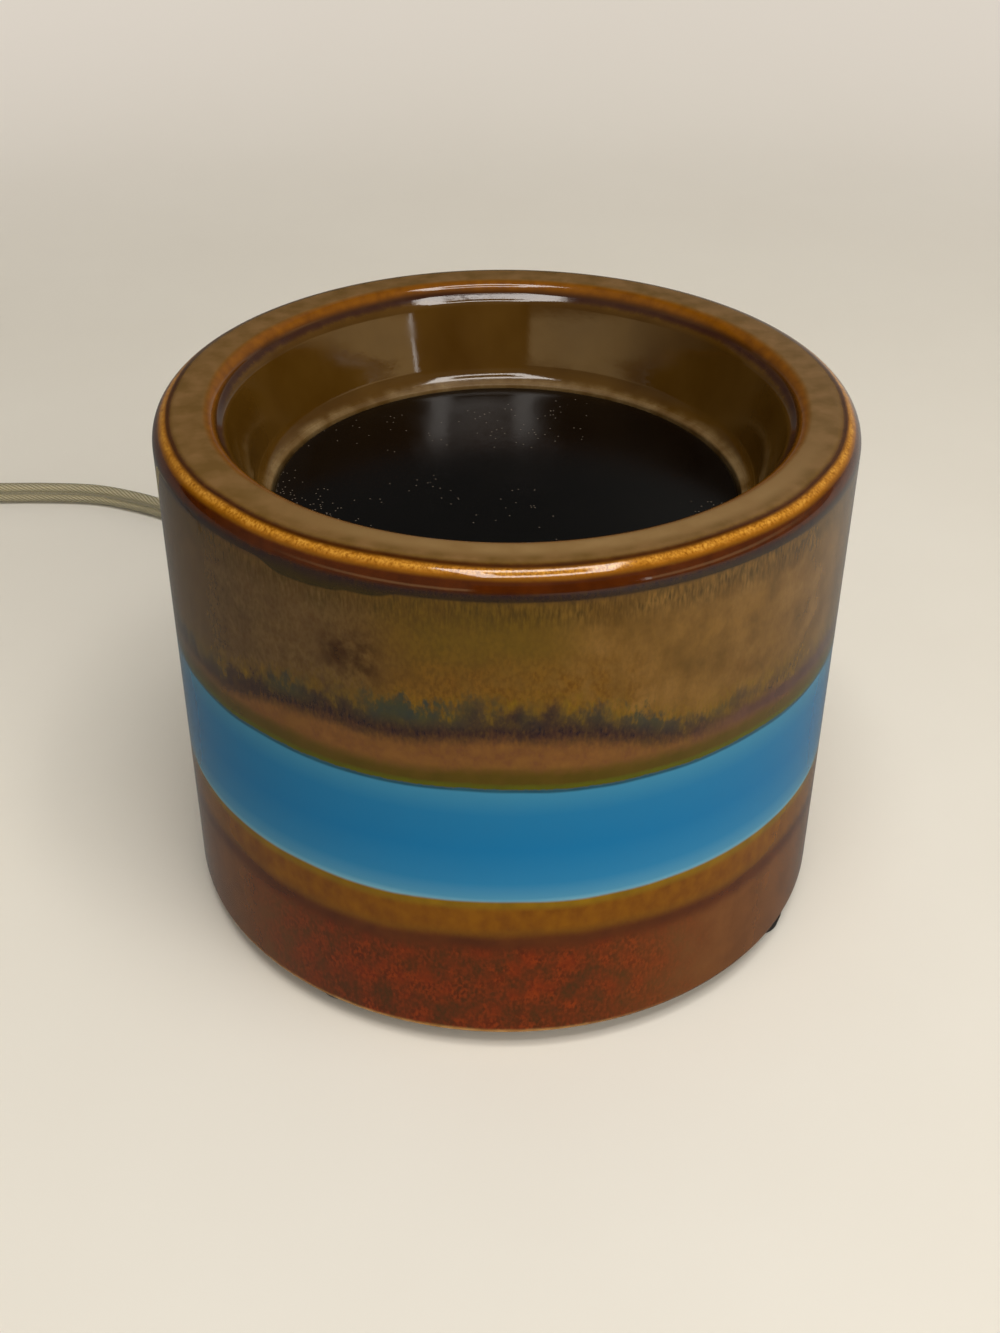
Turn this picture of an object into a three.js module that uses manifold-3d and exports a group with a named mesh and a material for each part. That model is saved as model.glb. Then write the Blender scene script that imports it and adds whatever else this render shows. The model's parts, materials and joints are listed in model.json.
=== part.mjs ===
// Electric wax warmer: a glazed stoneware drum with a sunken hot plate. A flat heater sits under the
// plate, and one tie rod on the axis pulls the plate down on its ledge and the base cover up into the
// foot ring. A clear flat twin cord leaves low at the back, lies on its narrow edge, and carries an
// in-line rocker switch and a two-blade plug.
// Millimetres, +Z up, floor at z = 0, body axis on Z, cord leaving along +Y.

import * as THREE from "three";
import { mergeVertices } from "three/addons/utils/BufferGeometryUtils.js";
import Module from "manifold-3d";

const wasm = await Module();
wasm.setup();

// Clearances
const SEAT_GAP = 0.05; // between flat faces that are clamped on each other
const FIT_GAP = 0.3; // between pieces that are cut or turned to fit each other
const FLOOR_GAP = 0.3; // under pieces that lie on the floor beside the body
const OVERRUN = 1; // how far drills and joined shapes run past a face

// Stoneware body
const BODY_DIAMETER = 120;
const BODY_HEIGHT = 93;
const BODY_WALL = 5.5;
const BODY_FOOT_ROUND = 1.6;
const RIM_OUTER_ROUND = 4.5;
const RIM_INNER_ROUND = 2.5;
const RIM_SOLID = 11; // solid clay under the rim, above the hollow between the two walls
const WELL_DEPTH = 17; // from the rim down to the ring round the plate
const WELL_FLARE = 6.5; // how much wider the well is at the rim than at the ring
const WELL_COVE = 3.5; // hollow curve where the well wall meets the ring
const RING_WIDTH = 2.2;
const RING_FALL = 0.8; // the ring slopes down to the plate
const RING_EDGE_ROUND = 0.5;
const SEAT_WIDTH = 3.8; // ledge that carries the plate
const LEDGE_THICKNESS = 5;
const HOLLOW_ROUND = 2.5;
const FOOT_RING_THICKNESS = 5.5;
const BASE_OPENING_DIAMETER = 88.6;
const BASE_REBATE_WIDTH = 3.5;
const BASE_REBATE_DEPTH = 2.2;
const REBATE_EDGE_ROUND = 0.5;

// Feet
const FOOT_DIAMETER = 10;
const FOOT_HEIGHT = 3;
const FOOT_DRAFT = 0.6;
const FOOT_ROUND = 0.7;
// Angle of each foot, and the distance from the outside of the body to its middle: glued on by hand.
const FOOT_PLACES = {
  front_right: [-45, 5.2],
  rear_right: [46, 6.2],
  rear_left: [134, 6],
  front_left: [-137.5, 7],
};

// Hot plate and its gasket
const PLATE_DIAMETER = 81.8;
const PLATE_THICKNESS = 2;
const PLATE_EDGE_ROUND = 0.8;
const PLATE_EDGE_GAP = 0.4; // round the plate, inside the ring
const PLATE_RECESS = 0.3; // plate top below the ring's edge
const PLATE_BOSS_RADIUS = 6;
const PLATE_BORE_DEPTH = 3.6;
const GASKET_THICKNESS = 0.7;
const GASKET_MARGIN = 0.5; // gasket narrower than its ledge on each side

// Heater stack under the plate
const CLAMP_EDGE_GAP = 2; // round the clamp plate, inside the ledge
const CLAMP_PLATE_THICKNESS = 1;
const CLAMP_PLATE_LIP = 2; // turned-down edge that stiffens the clamp plate
const MICA_MARGIN = 1; // mica inside the clamp plate's edge
const MICA_THICKNESS = 0.6;
const ELEMENT_MARGIN = 3.5; // middle of the ribbon's last turn inside the mica's edge
const ELEMENT_THICKNESS = 0.6;
const ELEMENT_WIDTH = 4;
const ELEMENT_TURN_GAP = 2; // least gap between two turns
const ELEMENT_INNER_RADIUS = 12;
const ELEMENT_START_ANGLE = 40;
const ELEMENT_STEPS = 20; // for one turn
const CLAMP_WASHER_RADIUS = 9;
const CLAMP_WASHER_THICKNESS = 1.2;

// Tie rod, nuts, spacer and heat shield
const ROD_RADIUS = 2;
const ROD_CLEARANCE = 0.25;
const ROD_TAIL = 0.8; // rod past the base nut
const NUT_FLATS = 7;
const NUT_HEIGHT = 3.2;
const SPACER_RADIUS = 4;
const SPACER_LENGTH = 7.5;
const SHIELD_MARGIN = 1.5; // shield inside the clamp plate's edge
const SHIELD_THICKNESS = 0.8;
const SHIELD_RIM = 4;
const SHIELD_ROUND = 2;

// Base cover
const COVER_EDGE_GAP = 0.5;
const COVER_THICKNESS = 1.2;
const COVER_DISH_RADIUS = 11; // flat top of the raised middle that hides the base nut
const COVER_DISH_SLOPE = 5;
const COVER_DISH_HEIGHT = 5;
const COVER_ROUND = 1.5;
const BASE_WASHER_RADIUS = 6;
const BASE_WASHER_THICKNESS = 1;

// Wiring inside the body
const LEAD_RADIUS = 1.1;
const LEAD_HOLE_RADIUS = 2;
const TAIL_GAP = 0.25; // between the cord's halves where they part
const CAP_RADIUS = 4;
const CAP_LENGTH = 15;
const CAP_ROUND = 2;
const CAP_OFFSET = 14; // sideways from the middle of the body
const CAP_MOUTH_INSET = 8.3; // open end of the crimp caps inside the base opening
const CAP_WIRE_OFFSET = 1.7; // the two wires in a cap's mouth
const WIRE_STRAIGHT = 3; // a wire leaves what holds it straight for this far
const LEAD_BOW_LOW = 12; // where a lead's bow starts, below the middle of its climb
const LEAD_BOW_HIGH = 6; // where it ends, above the middle
const LEAD_PLUMB = 8; // a lead hangs plumb for this far below the shield
const FUSE_RADIUS = 2;
const FUSE_LENGTH = 10;
const FUSE_INSET = 8.5; // fuse inside the clamp plate's edge
const FUSE_ANGLE = 75;
const FUSE_LEAD_STRAIGHT = 2.2; // its leads leave it straight for this far
const FUSE_LEAD_DROP = 4; // the line lead comes up beside it from this far below
const CLIP_THICKNESS = 0.6;
const CLIP_WIDTH = 5;
const CLIP_EAR = 4;

// Cord entry
const ENTRY_HEIGHT = 17;
const ENTRY_RADIUS = 5.4;
const BUSHING_FLANGE_RADIUS = 8;
const BUSHING_FLANGE_THICKNESS = 2;
const BUSHING_SNAP = 0.9; // how far the snap collar stands out behind the wall
const BUSHING_SNAP_LENGTH = 2.5;
const BUSHING_TAIL_LENGTH = 22;
const BUSHING_TAIL_ROOT_RADIUS = 5.4;
const BUSHING_TAIL_END_RADIUS = 4;
const BUSHING_GROOVES = 3;
const BUSHING_GROOVE_DEPTH = 0.9;

// Flat twin cord, lying on its narrow edge
const CORD_WIDTH = 5.5;
const CORD_THICKNESS = 2.8;
const CORD_STRAIGHT = 4; // level run where it meets the switch, the coil and the plug
const CORD_FLOOR_Z = CORD_WIDTH / 2 + FLOOR_GAP;

// In-line switch
const SWITCH_PLACE = [-180, 100];
const SWITCH_LENGTH = 60;
const SWITCH_WIDTH = 23;
const SWITCH_NECK = 13;
const SWITCH_HEIGHT = 17;
const SWITCH_WALL = 2.2;
const SWITCH_EDGE_ROUND = 2;
const SWITCH_END_ROUND = 3.2;
const SWITCH_SWELL = 0.45; // how far the long curve of each side holds its direction
const SWITCH_SCREW_OFFSET = 20;
const SCREW_RADIUS = 1.3;
const SCREW_HEAD_RADIUS = 2.4;
const SCREW_HEAD_HEIGHT = 1.6;
const SCREW_SINK = 0.6; // head below the underside
const SCREW_POST_WALL = 1.5;
const SCREW_END_COVER = 2.2; // plastic left over the screw's tip
const ROCKER_LENGTH = 16;
const ROCKER_WIDTH = 9;
const ROCKER_THROW = 20; // degrees from off to on
const ROCKER_CREST = 3; // pivot to the valley of the rocker's two faces
const ROCKER_PROUD = 0.5; // pressed face above the cover
const ROCKER_DEPTH = 3.2; // below the pivot
const PIVOT_RADIUS = 1.2;
const PIVOT_LENGTH = 1.5;
const CHEEK_THICKNESS = 2.5;
const CHEEK_DEPTH = 2.2; // below the pivot
const BRIDGE_THICKNESS = 0.6;
const BRIDGE_LENGTH = 13;
const BRIDGE_WIDTH = 4;
const POST_RADIUS = 1.6;
const POST_OFFSET = 5.2;
const POST_ROUND = 0.6;

// Coil of spare cord and its tie
const COIL_CENTRE = [-143.5, 30];
const COIL_MIDDLE_RADIUS = 32.45;
const COIL_TURNS_ACROSS = 4;
const COIL_LAYERS = 2;
const COIL_SLACK = 0.3;
const COIL_FLOOR = 0.8;
const COIL_ROUND = 1.8;
const TIE_ANGLE = 55;
const TIE_WIDTH = 6;
const TIE_THICKNESS = 0.4;
const TIE_GAP = 0.25;

// Plug
const PLUG_PLACE = [-180, -2];
const PLUG_LENGTH = 30;
const PLUG_FACE_WIDTH = 25;
const PLUG_WAIST = 20;
const PLUG_REAR_WIDTH = 14;
const PLUG_HEIGHT = 15;
const PLUG_REAR_HEIGHT = 10;
const PLUG_EDGE_ROUND = 1.5;
const PLUG_FLANGE = 4; // full width at the face
const PLUG_SHOULDER = 18; // length over which the plug grows to full height
const PLUG_BOW = 10; // softness of its curves
const GRIP_COUNT = 3;
const GRIP_PITCH = 3.2;
const GRIP_WIDTH = 1.5;
const GRIP_DEPTH = 0.7;
const GRIP_START = 11; // first finger groove, from the back of the plug
const PLUG_RELIEF_LENGTH = 12;
const PLUG_RELIEF_ROOT_RADIUS = 4.6;
const PLUG_RELIEF_END_RADIUS = 3.6;
const BLADE_SPACING = 12.7;
const BLADE_LENGTH = 17;
const BLADE_ROOT = 7; // inside the plug
const BLADE_THICKNESS = 1.5;
const BLADE_WIDTHS = { line: 6.35, neutral: 7.95 };
const BLADE_HOLE_RADIUS = 1.6;
const BLADE_HOLE_PLACE = 12;
const BLADE_TIP_CHAMFER = 1.5;

// Facets: sides of a full turn, and how far a rounded corner's facets may fall inside its arc
const SIDES_LARGE = 48;
const SIDES_MEDIUM = 32;
const SIDES_SMALL = 16;
const SIDES_WIRE = 8;
const CURVE_STEPS = 4; // for one curve of a drawn outline
const CORD_STEP = 9; // length of one facet along the cord
const CORD_LEAST_STEPS = 8;
const BEVEL_STEPS = 3;
const ROUND_SHARE = 0.49; // of an edge, the most that the round at one end may take
const NEAR_STRAIGHT = 1.55; // half the angle of a corner, in radians, that needs no round
const ARC_SAG = 0.08;
const ARC_SAG_INSIDE = 0.3; // on pieces that the body hides, and on the soft coil

// Heights from the floor up, and radii that several pieces share
const bodyRadius = BODY_DIAMETER / 2;
const bodyBottom = FOOT_HEIGHT;
const rimTop = bodyBottom + BODY_HEIGHT;
const plateRadius = PLATE_DIAMETER / 2;
const ringInner = plateRadius + PLATE_EDGE_GAP;
const ringOuter = ringInner + RING_WIDTH;
const ringTop = rimTop - WELL_DEPTH;
const ringEdge = ringTop - RING_FALL;
const plateTop = ringEdge - PLATE_RECESS;
const plateUnder = plateTop - PLATE_THICKNESS;
const gasketTop = plateUnder - SEAT_GAP;
const seatTop = gasketTop - GASKET_THICKNESS - SEAT_GAP;
const seatInner = ringInner - SEAT_WIDTH;
const clampRadius = seatInner - CLAMP_EDGE_GAP;
const micaRadius = clampRadius - MICA_MARGIN;
const shieldRadius = clampRadius - SHIELD_MARGIN;
const fuseOrbit = clampRadius - FUSE_INSET;
const elementOuter = micaRadius - ELEMENT_MARGIN;
const elementSpan = elementOuter - ELEMENT_INNER_RADIUS;
const elementTurns = Math.floor(elementSpan / (ELEMENT_WIDTH + ELEMENT_TURN_GAP));
const openingRadius = BASE_OPENING_DIAMETER / 2;
const capMouth = openingRadius - CAP_MOUTH_INSET;
const upperMicaTop = plateUnder - SEAT_GAP;
const elementTop = upperMicaTop - MICA_THICKNESS - SEAT_GAP;
const lowerMicaTop = elementTop - ELEMENT_THICKNESS - SEAT_GAP;
const clampTop = lowerMicaTop - MICA_THICKNESS - SEAT_GAP;
const clampUnder = clampTop - CLAMP_PLATE_THICKNESS;
const plateBossEnd = clampUnder + SEAT_GAP;
const clampWasherTop = clampUnder - SEAT_GAP;
const clampNutTop = clampWasherTop - CLAMP_WASHER_THICKNESS - SEAT_GAP;
const spacerTop = clampNutTop - NUT_HEIGHT - SEAT_GAP;
const shieldTop = spacerTop - SPACER_LENGTH - SEAT_GAP;
const shieldNutTop = shieldTop - SHIELD_THICKNESS - SEAT_GAP;
const coverTop = bodyBottom + BASE_REBATE_DEPTH - SEAT_GAP;
const coverUnder = coverTop - COVER_THICKNESS;
const baseWasherTop = coverUnder + COVER_DISH_HEIGHT - SEAT_GAP;
const baseNutTop = baseWasherTop - BASE_WASHER_THICKNESS - SEAT_GAP;
const rodHole = ROD_RADIUS + ROD_CLEARANCE;
const rodTop = plateBossEnd + PLATE_BORE_DEPTH - FIT_GAP;
const rodBottom = baseNutTop - NUT_HEIGHT - ROD_TAIL;
const entryOutside = bodyRadius + FIT_GAP;
const wallInside = bodyRadius - BODY_WALL;
const wallFacetInside = wallInside * Math.cos(Math.PI / SIDES_LARGE);
const snapRadius = ENTRY_RADIUS + BUSHING_SNAP;
const entryInside = Math.sqrt(wallFacetInside ** 2 - snapRadius ** 2) - FIT_GAP;
const bushingEnd = entryOutside + BUSHING_FLANGE_THICKNESS + BUSHING_TAIL_LENGTH;
const bushingInnerEnd = entryInside - BUSHING_SNAP_LENGTH;

// Geometry helpers

function radians(degrees) {
  return THREE.MathUtils.degToRad(degrees);
}

// Position-only geometry with shared corners merged and empty triangles left out.
function welded(geometry) {
  const bare = geometry.index ? geometry.toNonIndexed() : geometry.clone();
  for (const name of Object.keys(bare.attributes)) {
    if (name !== "position") bare.deleteAttribute(name);
  }
  const merged = mergeVertices(bare, 1e-4);
  const corners = merged.index.array;
  const kept = [];
  for (let i = 0; i < corners.length; i += 3) {
    const [a, b, c] = corners.slice(i, i + 3);
    if (a !== b && b !== c && c !== a) kept.push(a, b, c);
  }
  merged.setIndex(kept);
  return merged;
}

function toSolid(geometry) {
  const shell = welded(geometry);
  return new wasm.Manifold(
    new wasm.Mesh({
      numProp: 3,
      vertProperties: new Float32Array(shell.attributes.position.array),
      triVerts: new Uint32Array(shell.index.array),
    }),
  );
}

function toGeometry(solid) {
  const mesh = solid.getMesh();
  const geometry = new THREE.BufferGeometry();
  geometry.setAttribute("position", new THREE.BufferAttribute(mesh.vertProperties, 3));
  geometry.setIndex(new THREE.BufferAttribute(mesh.triVerts, 1));
  return geometry;
}

function cut(geometry, ...tools) {
  return toGeometry(tools.reduce((solid, tool) => solid.subtract(toSolid(tool)), toSolid(geometry)));
}

function join(geometry, ...others) {
  return toGeometry(others.reduce((solid, other) => solid.add(toSolid(other)), toSolid(geometry)));
}

function common(geometry, other) {
  return toGeometry(toSolid(geometry).intersect(toSolid(other)));
}

// A closed outline from corners [across, along, round, sag], each corner rounded by an arc. A round
// is limited to what its two neighbouring edges can hold, and a corner's own sag is optional.
function filleted(corners, sag = ARC_SAG) {
  const outline = [];
  corners.forEach(([x, y, round, cornerSag = sag], i) => {
    const corner = new THREE.Vector2(x, y);
    const [px, py] = corners[(i + corners.length - 1) % corners.length];
    const [nx, ny] = corners[(i + 1) % corners.length];
    const back = new THREE.Vector2(px, py).sub(corner);
    const ahead = new THREE.Vector2(nx, ny).sub(corner);
    const room = ROUND_SHARE * Math.min(back.length(), ahead.length());
    back.normalize();
    ahead.normalize();
    const half = Math.acos(THREE.MathUtils.clamp(back.dot(ahead), -1, 1)) / 2;
    if (!round || half > NEAR_STRAIGHT) {
      outline.push(corner);
      return;
    }
    const reach = Math.min(round / Math.tan(half), room);
    const radius = reach * Math.tan(half);
    const centre = back.clone().add(ahead).normalize().multiplyScalar(radius / Math.sin(half)).add(corner);
    const start = back.clone().multiplyScalar(reach).add(corner).sub(centre);
    const turn = Math.PI - 2 * half;
    const side = Math.sign(back.cross(ahead));
    const step = 2 * Math.acos(Math.max(0, 1 - cornerSag / radius));
    const steps = Math.max(1, Math.round(turn / step));
    for (let s = 0; s <= steps; s += 1) {
      const spoke = start.clone().rotateAround(new THREE.Vector2(), (-side * turn * s) / steps);
      outline.push(spoke.add(centre));
    }
  });
  return outline;
}

// A turned piece on the Z axis, from corners [radius, height, round] that go round its section
// anticlockwise.
function turned(corners, sides, sag) {
  const outline = filleted(corners, sag);
  outline.push(outline[0].clone());
  const geometry = new THREE.LatheGeometry(outline, sides);
  geometry.rotateX(Math.PI / 2);
  return welded(geometry);
}

function ring(inner, outer, bottom, top, sides) {
  return turned([[inner, bottom], [outer, bottom], [outer, top], [inner, top]], sides);
}

function rod(radius, bottom, top, sides) {
  return turned([[0, bottom], [radius, bottom], [radius, top], [0, top]], sides);
}

// The same turned piece laid along another axis.
function alongX(geometry) {
  return geometry.rotateY(Math.PI / 2);
}

function alongY(geometry) {
  return geometry.rotateX(-Math.PI / 2);
}

function plain(shape, depth) {
  return new THREE.ExtrudeGeometry(shape, { depth, bevelEnabled: false, curveSegments: SIDES_SMALL / 2 });
}

// An extruded outline with rounded top and bottom edges, from z = 0 to z = height.
function bevelled(shape, height, round, curveSegments) {
  const geometry = new THREE.ExtrudeGeometry(shape, {
    depth: height - 2 * round,
    bevelThickness: round,
    bevelSize: round,
    bevelOffset: -round,
    bevelSegments: BEVEL_STEPS,
    curveSegments,
  });
  return geometry.translate(0, 0, round);
}

function outlineShape(corners) {
  return new THREE.Shape(filleted(corners));
}

function boxBetween(low, high) {
  const [width, depth, height] = high.map((value, i) => value - low[i]);
  const middle = high.map((value, i) => (value + low[i]) / 2);
  return new THREE.BoxGeometry(width, depth, height).translate(...middle);
}

function hexNut(top, hole) {
  const shape = new THREE.Shape();
  const corner = NUT_FLATS / Math.sqrt(3);
  for (let i = 0; i < 6; i += 1) {
    const angle = (i * Math.PI) / 3;
    if (i === 0) shape.moveTo(corner, 0);
    else shape.lineTo(corner * Math.cos(angle), corner * Math.sin(angle));
  }
  shape.holes.push(new THREE.Path().absarc(0, 0, hole, 0, 2 * Math.PI, true));
  return plain(shape, NUT_HEIGHT).translate(0, 0, top - NUT_HEIGHT);
}

function roundSection(radius) {
  return new THREE.Shape().absarc(0, 0, radius, 0, 2 * Math.PI);
}

function asVectors(points) {
  return points.map((point) => new THREE.Vector3(...point));
}

// A round wire through a list of points.
function wire(points, radius) {
  const stepsPerPoint = 2;
  const geometry = new THREE.ExtrudeGeometry(roundSection(radius), {
    steps: stepsPerPoint * (points.length - 1),
    extrudePath: new THREE.CatmullRomCurve3(asVectors(points)),
    curveSegments: SIDES_WIRE / 2,
  });
  return welded(geometry);
}

// Finishes

function finish(color, roughness, metalness = 0) {
  return new THREE.MeshStandardMaterial({ color, roughness, metalness });
}

const glazedStoneware = finish(0x64502f, 0.25);
const blackEnamel = finish(0x1b1a19, 0.5);
const glassFibre = finish(0xd8d2c2, 0.9);
const mica = finish(0xb7a683, 0.55);
const heatingAlloy = finish(0x8d8a86, 0.45, 1);
const zincSteel = finish(0xb9bcc0, 0.4, 1);
const aluminium = finish(0xc9ccd0, 0.35, 1);
const brass = finish(0xc9a24a, 0.35, 1);
const siliconeWhite = finish(0xe6e3da, 0.7);
const siliconeRed = finish(0x9c3b2e, 0.7);
const nylonCap = finish(0xe9e4d2, 0.5);
const blackPaint = finish(0x232323, 0.6);
const blackRubber = finish(0x161616, 0.85);
const clearPvc = finish(0xcfc8b4, 0.2);
const milkyPlastic = finish(0xdad6c8, 0.35);
const whitePlastic = finish(0xf1efe8, 0.3);

const warmer = new THREE.Group();

function add(name, geometry, material, parent = warmer) {
  const mesh = new THREE.Mesh(geometry, material);
  mesh.name = name;
  parent.add(mesh);
  return mesh;
}

// Stoneware body: one even wall that rolls over the rim into the well, a ledge for the plate, a
// hollow between the two walls, and a foot ring with a rebate for the base cover.
function bodyShell() {
  const hollowTop = rimTop - RIM_SOLID;
  const hollowShare = (hollowTop - ringTop) / (rimTop - ringTop);
  const hollowHigh = ringOuter + WELL_FLARE * hollowShare + BODY_WALL;
  const rebateRadius = openingRadius + BASE_REBATE_WIDTH;
  const rebateTop = bodyBottom + BASE_REBATE_DEPTH;
  const footRingTop = bodyBottom + FOOT_RING_THICKNESS;
  const ledgeUnder = seatTop - LEDGE_THICKNESS;
  const shell = turned(
    [
      [bodyRadius, bodyBottom, BODY_FOOT_ROUND],
      [bodyRadius, rimTop, RIM_OUTER_ROUND],
      [ringOuter + WELL_FLARE, rimTop, RIM_INNER_ROUND],
      [ringOuter, ringTop, WELL_COVE],
      [ringInner, ringEdge, RING_EDGE_ROUND],
      [ringInner, seatTop],
      [seatInner, seatTop],
      [seatInner, ledgeUnder],
      [ringOuter + BODY_WALL / 2, ledgeUnder, HOLLOW_ROUND, ARC_SAG_INSIDE],
      [hollowHigh, hollowTop, HOLLOW_ROUND, ARC_SAG_INSIDE],
      [wallInside, hollowTop, HOLLOW_ROUND, ARC_SAG_INSIDE],
      [wallInside, footRingTop, HOLLOW_ROUND, ARC_SAG_INSIDE],
      [openingRadius, footRingTop],
      [openingRadius, rebateTop],
      [rebateRadius, rebateTop],
      [rebateRadius, bodyBottom, REBATE_EDGE_ROUND],
    ],
    SIDES_LARGE,
  );
  const entry = alongY(rod(ENTRY_RADIUS, wallInside - BODY_WALL, bodyRadius + BODY_WALL, SIDES_SMALL));
  return cut(shell, entry.translate(0, 0, ENTRY_HEIGHT));
}

add("ceramic_body", bodyShell(), glazedStoneware);

// Rubber feet under the foot ring.
function foot() {
  const radius = FOOT_DIAMETER / 2;
  return turned(
    [
      [0, 0],
      [radius - FOOT_DRAFT, 0, FOOT_ROUND],
      [radius, FOOT_HEIGHT - SEAT_GAP],
      [0, FOOT_HEIGHT - SEAT_GAP],
    ],
    SIDES_SMALL,
  );
}

for (const [place, [angle, inset]] of Object.entries(FOOT_PLACES)) {
  const mesh = add(`foot_${place}`, foot(), blackRubber);
  const orbit = bodyRadius - inset;
  mesh.position.set(orbit * Math.cos(radians(angle)), orbit * Math.sin(radians(angle)), 0);
}

// Hot plate with the threaded boss under its middle, on a flat gasket.
const plate = turned(
  [
    [0, plateBossEnd + PLATE_BORE_DEPTH],
    [rodHole, plateBossEnd + PLATE_BORE_DEPTH],
    [rodHole, plateBossEnd],
    [PLATE_BOSS_RADIUS, plateBossEnd],
    [PLATE_BOSS_RADIUS, plateUnder],
    [plateRadius, plateUnder],
    [plateRadius, plateTop, PLATE_EDGE_ROUND],
    [0, plateTop],
  ],
  SIDES_LARGE,
);
add("hot_plate", plate, blackEnamel);

const gasketInner = seatInner + GASKET_MARGIN;
const gasketOuter = ringInner - GASKET_MARGIN;
const gasket = ring(gasketInner, gasketOuter, gasketTop - GASKET_THICKNESS, gasketTop, SIDES_LARGE);
add("plate_gasket", gasket, glassFibre);

// Heater: a flat spiral of resistance ribbon between two mica discs, held up by a clamp plate.
class FlatSpiral extends THREE.Curve {
  constructor(height) {
    super();
    this.height = height;
  }

  getPoint(t, target = new THREE.Vector3()) {
    const angle = radians(ELEMENT_START_ANGLE) + 2 * Math.PI * elementTurns * t;
    const radius = THREE.MathUtils.lerp(ELEMENT_INNER_RADIUS, elementOuter, t);
    return target.set(radius * Math.cos(angle), radius * Math.sin(angle), this.height);
  }
}

const spiral = new FlatSpiral(elementTop - ELEMENT_THICKNESS / 2);
const spiralStart = spiral.getPoint(0);
const spiralEnd = spiral.getPoint(1);
const ribbonHalf = new THREE.Vector2(ELEMENT_THICKNESS / 2, ELEMENT_WIDTH / 2);
const ribbonSection = new THREE.Shape([
  new THREE.Vector2(-ribbonHalf.x, -ribbonHalf.y),
  new THREE.Vector2(ribbonHalf.x, -ribbonHalf.y),
  new THREE.Vector2(ribbonHalf.x, ribbonHalf.y),
  new THREE.Vector2(-ribbonHalf.x, ribbonHalf.y),
]);
const ribbon = new THREE.ExtrudeGeometry(ribbonSection, {
  steps: ELEMENT_STEPS * elementTurns,
  extrudePath: spiral,
});
add("heating_element", welded(ribbon), heatingAlloy);

// A drill for one lead, through a stack between two heights.
function leadDrill([x, y], bottom, top) {
  const drill = rod(LEAD_HOLE_RADIUS, bottom - OVERRUN, top + OVERRUN, SIDES_SMALL);
  return drill.translate(x, y, 0);
}

const startPlace = [spiralStart.x, spiralStart.y];
const endPlace = [spiralEnd.x, spiralEnd.y];
const discHole = PLATE_BOSS_RADIUS + FIT_GAP;
const upperMica = ring(discHole, micaRadius, upperMicaTop - MICA_THICKNESS, upperMicaTop, SIDES_MEDIUM);
add("mica_disc_upper", upperMica, mica);

const lowerMicaUnder = lowerMicaTop - MICA_THICKNESS;
const lowerMica = cut(
  ring(discHole, micaRadius, lowerMicaUnder, lowerMicaTop, SIDES_MEDIUM),
  leadDrill(startPlace, lowerMicaUnder, lowerMicaTop),
  leadDrill(endPlace, lowerMicaUnder, lowerMicaTop),
);
add("mica_disc_lower", lowerMica, mica);

const clampPlate = cut(
  turned(
    [
      [discHole, clampUnder],
      [clampRadius - CLAMP_PLATE_THICKNESS, clampUnder],
      [clampRadius - CLAMP_PLATE_THICKNESS, clampUnder - CLAMP_PLATE_LIP],
      [clampRadius, clampUnder - CLAMP_PLATE_LIP],
      [clampRadius, clampTop, CLAMP_PLATE_THICKNESS],
      [discHole, clampTop],
    ],
    SIDES_MEDIUM,
    ARC_SAG_INSIDE,
  ),
  leadDrill(startPlace, clampUnder, clampTop),
  leadDrill(endPlace, clampUnder, clampTop),
);
add("heater_clamp_plate", clampPlate, zincSteel);

// A flat washer on the rod, its top face at a height.
function washer(radius, thickness, top) {
  return ring(rodHole, radius, top - thickness, top, SIDES_SMALL);
}

add("clamp_washer", washer(CLAMP_WASHER_RADIUS, CLAMP_WASHER_THICKNESS, clampWasherTop), zincSteel);
add("clamp_nut", hexNut(clampNutTop, rodHole), zincSteel);

// Tie rod from the plate's boss to the base nut, with the heat shield hung on it.
add("tie_rod", rod(ROD_RADIUS, rodBottom, rodTop, SIDES_SMALL), zincSteel);
add("shield_spacer", washer(SPACER_RADIUS, SPACER_LENGTH, spacerTop), aluminium);
add("shield_nut", hexNut(shieldNutTop, rodHole), zincSteel);

const lineHolePlace = [
  fuseOrbit * Math.cos(radians(FUSE_ANGLE)) - FUSE_LENGTH * Math.sin(radians(FUSE_ANGLE)),
  fuseOrbit * Math.sin(radians(FUSE_ANGLE)) + FUSE_LENGTH * Math.cos(radians(FUSE_ANGLE)),
];
const shieldUnder = shieldTop - SHIELD_THICKNESS;
const shield = cut(
  turned(
    [
      [rodHole, shieldUnder],
      [shieldRadius, shieldUnder, SHIELD_ROUND],
      [shieldRadius, shieldTop + SHIELD_RIM],
      [shieldRadius - SHIELD_THICKNESS, shieldTop + SHIELD_RIM],
      [shieldRadius - SHIELD_THICKNESS, shieldTop, SHIELD_ROUND - SHIELD_THICKNESS],
      [rodHole, shieldTop],
    ],
    SIDES_MEDIUM,
    ARC_SAG_INSIDE,
  ),
  leadDrill(startPlace, shieldUnder, shieldTop),
  leadDrill(lineHolePlace, shieldUnder, shieldTop),
);
add("heat_shield", shield, aluminium);

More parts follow.
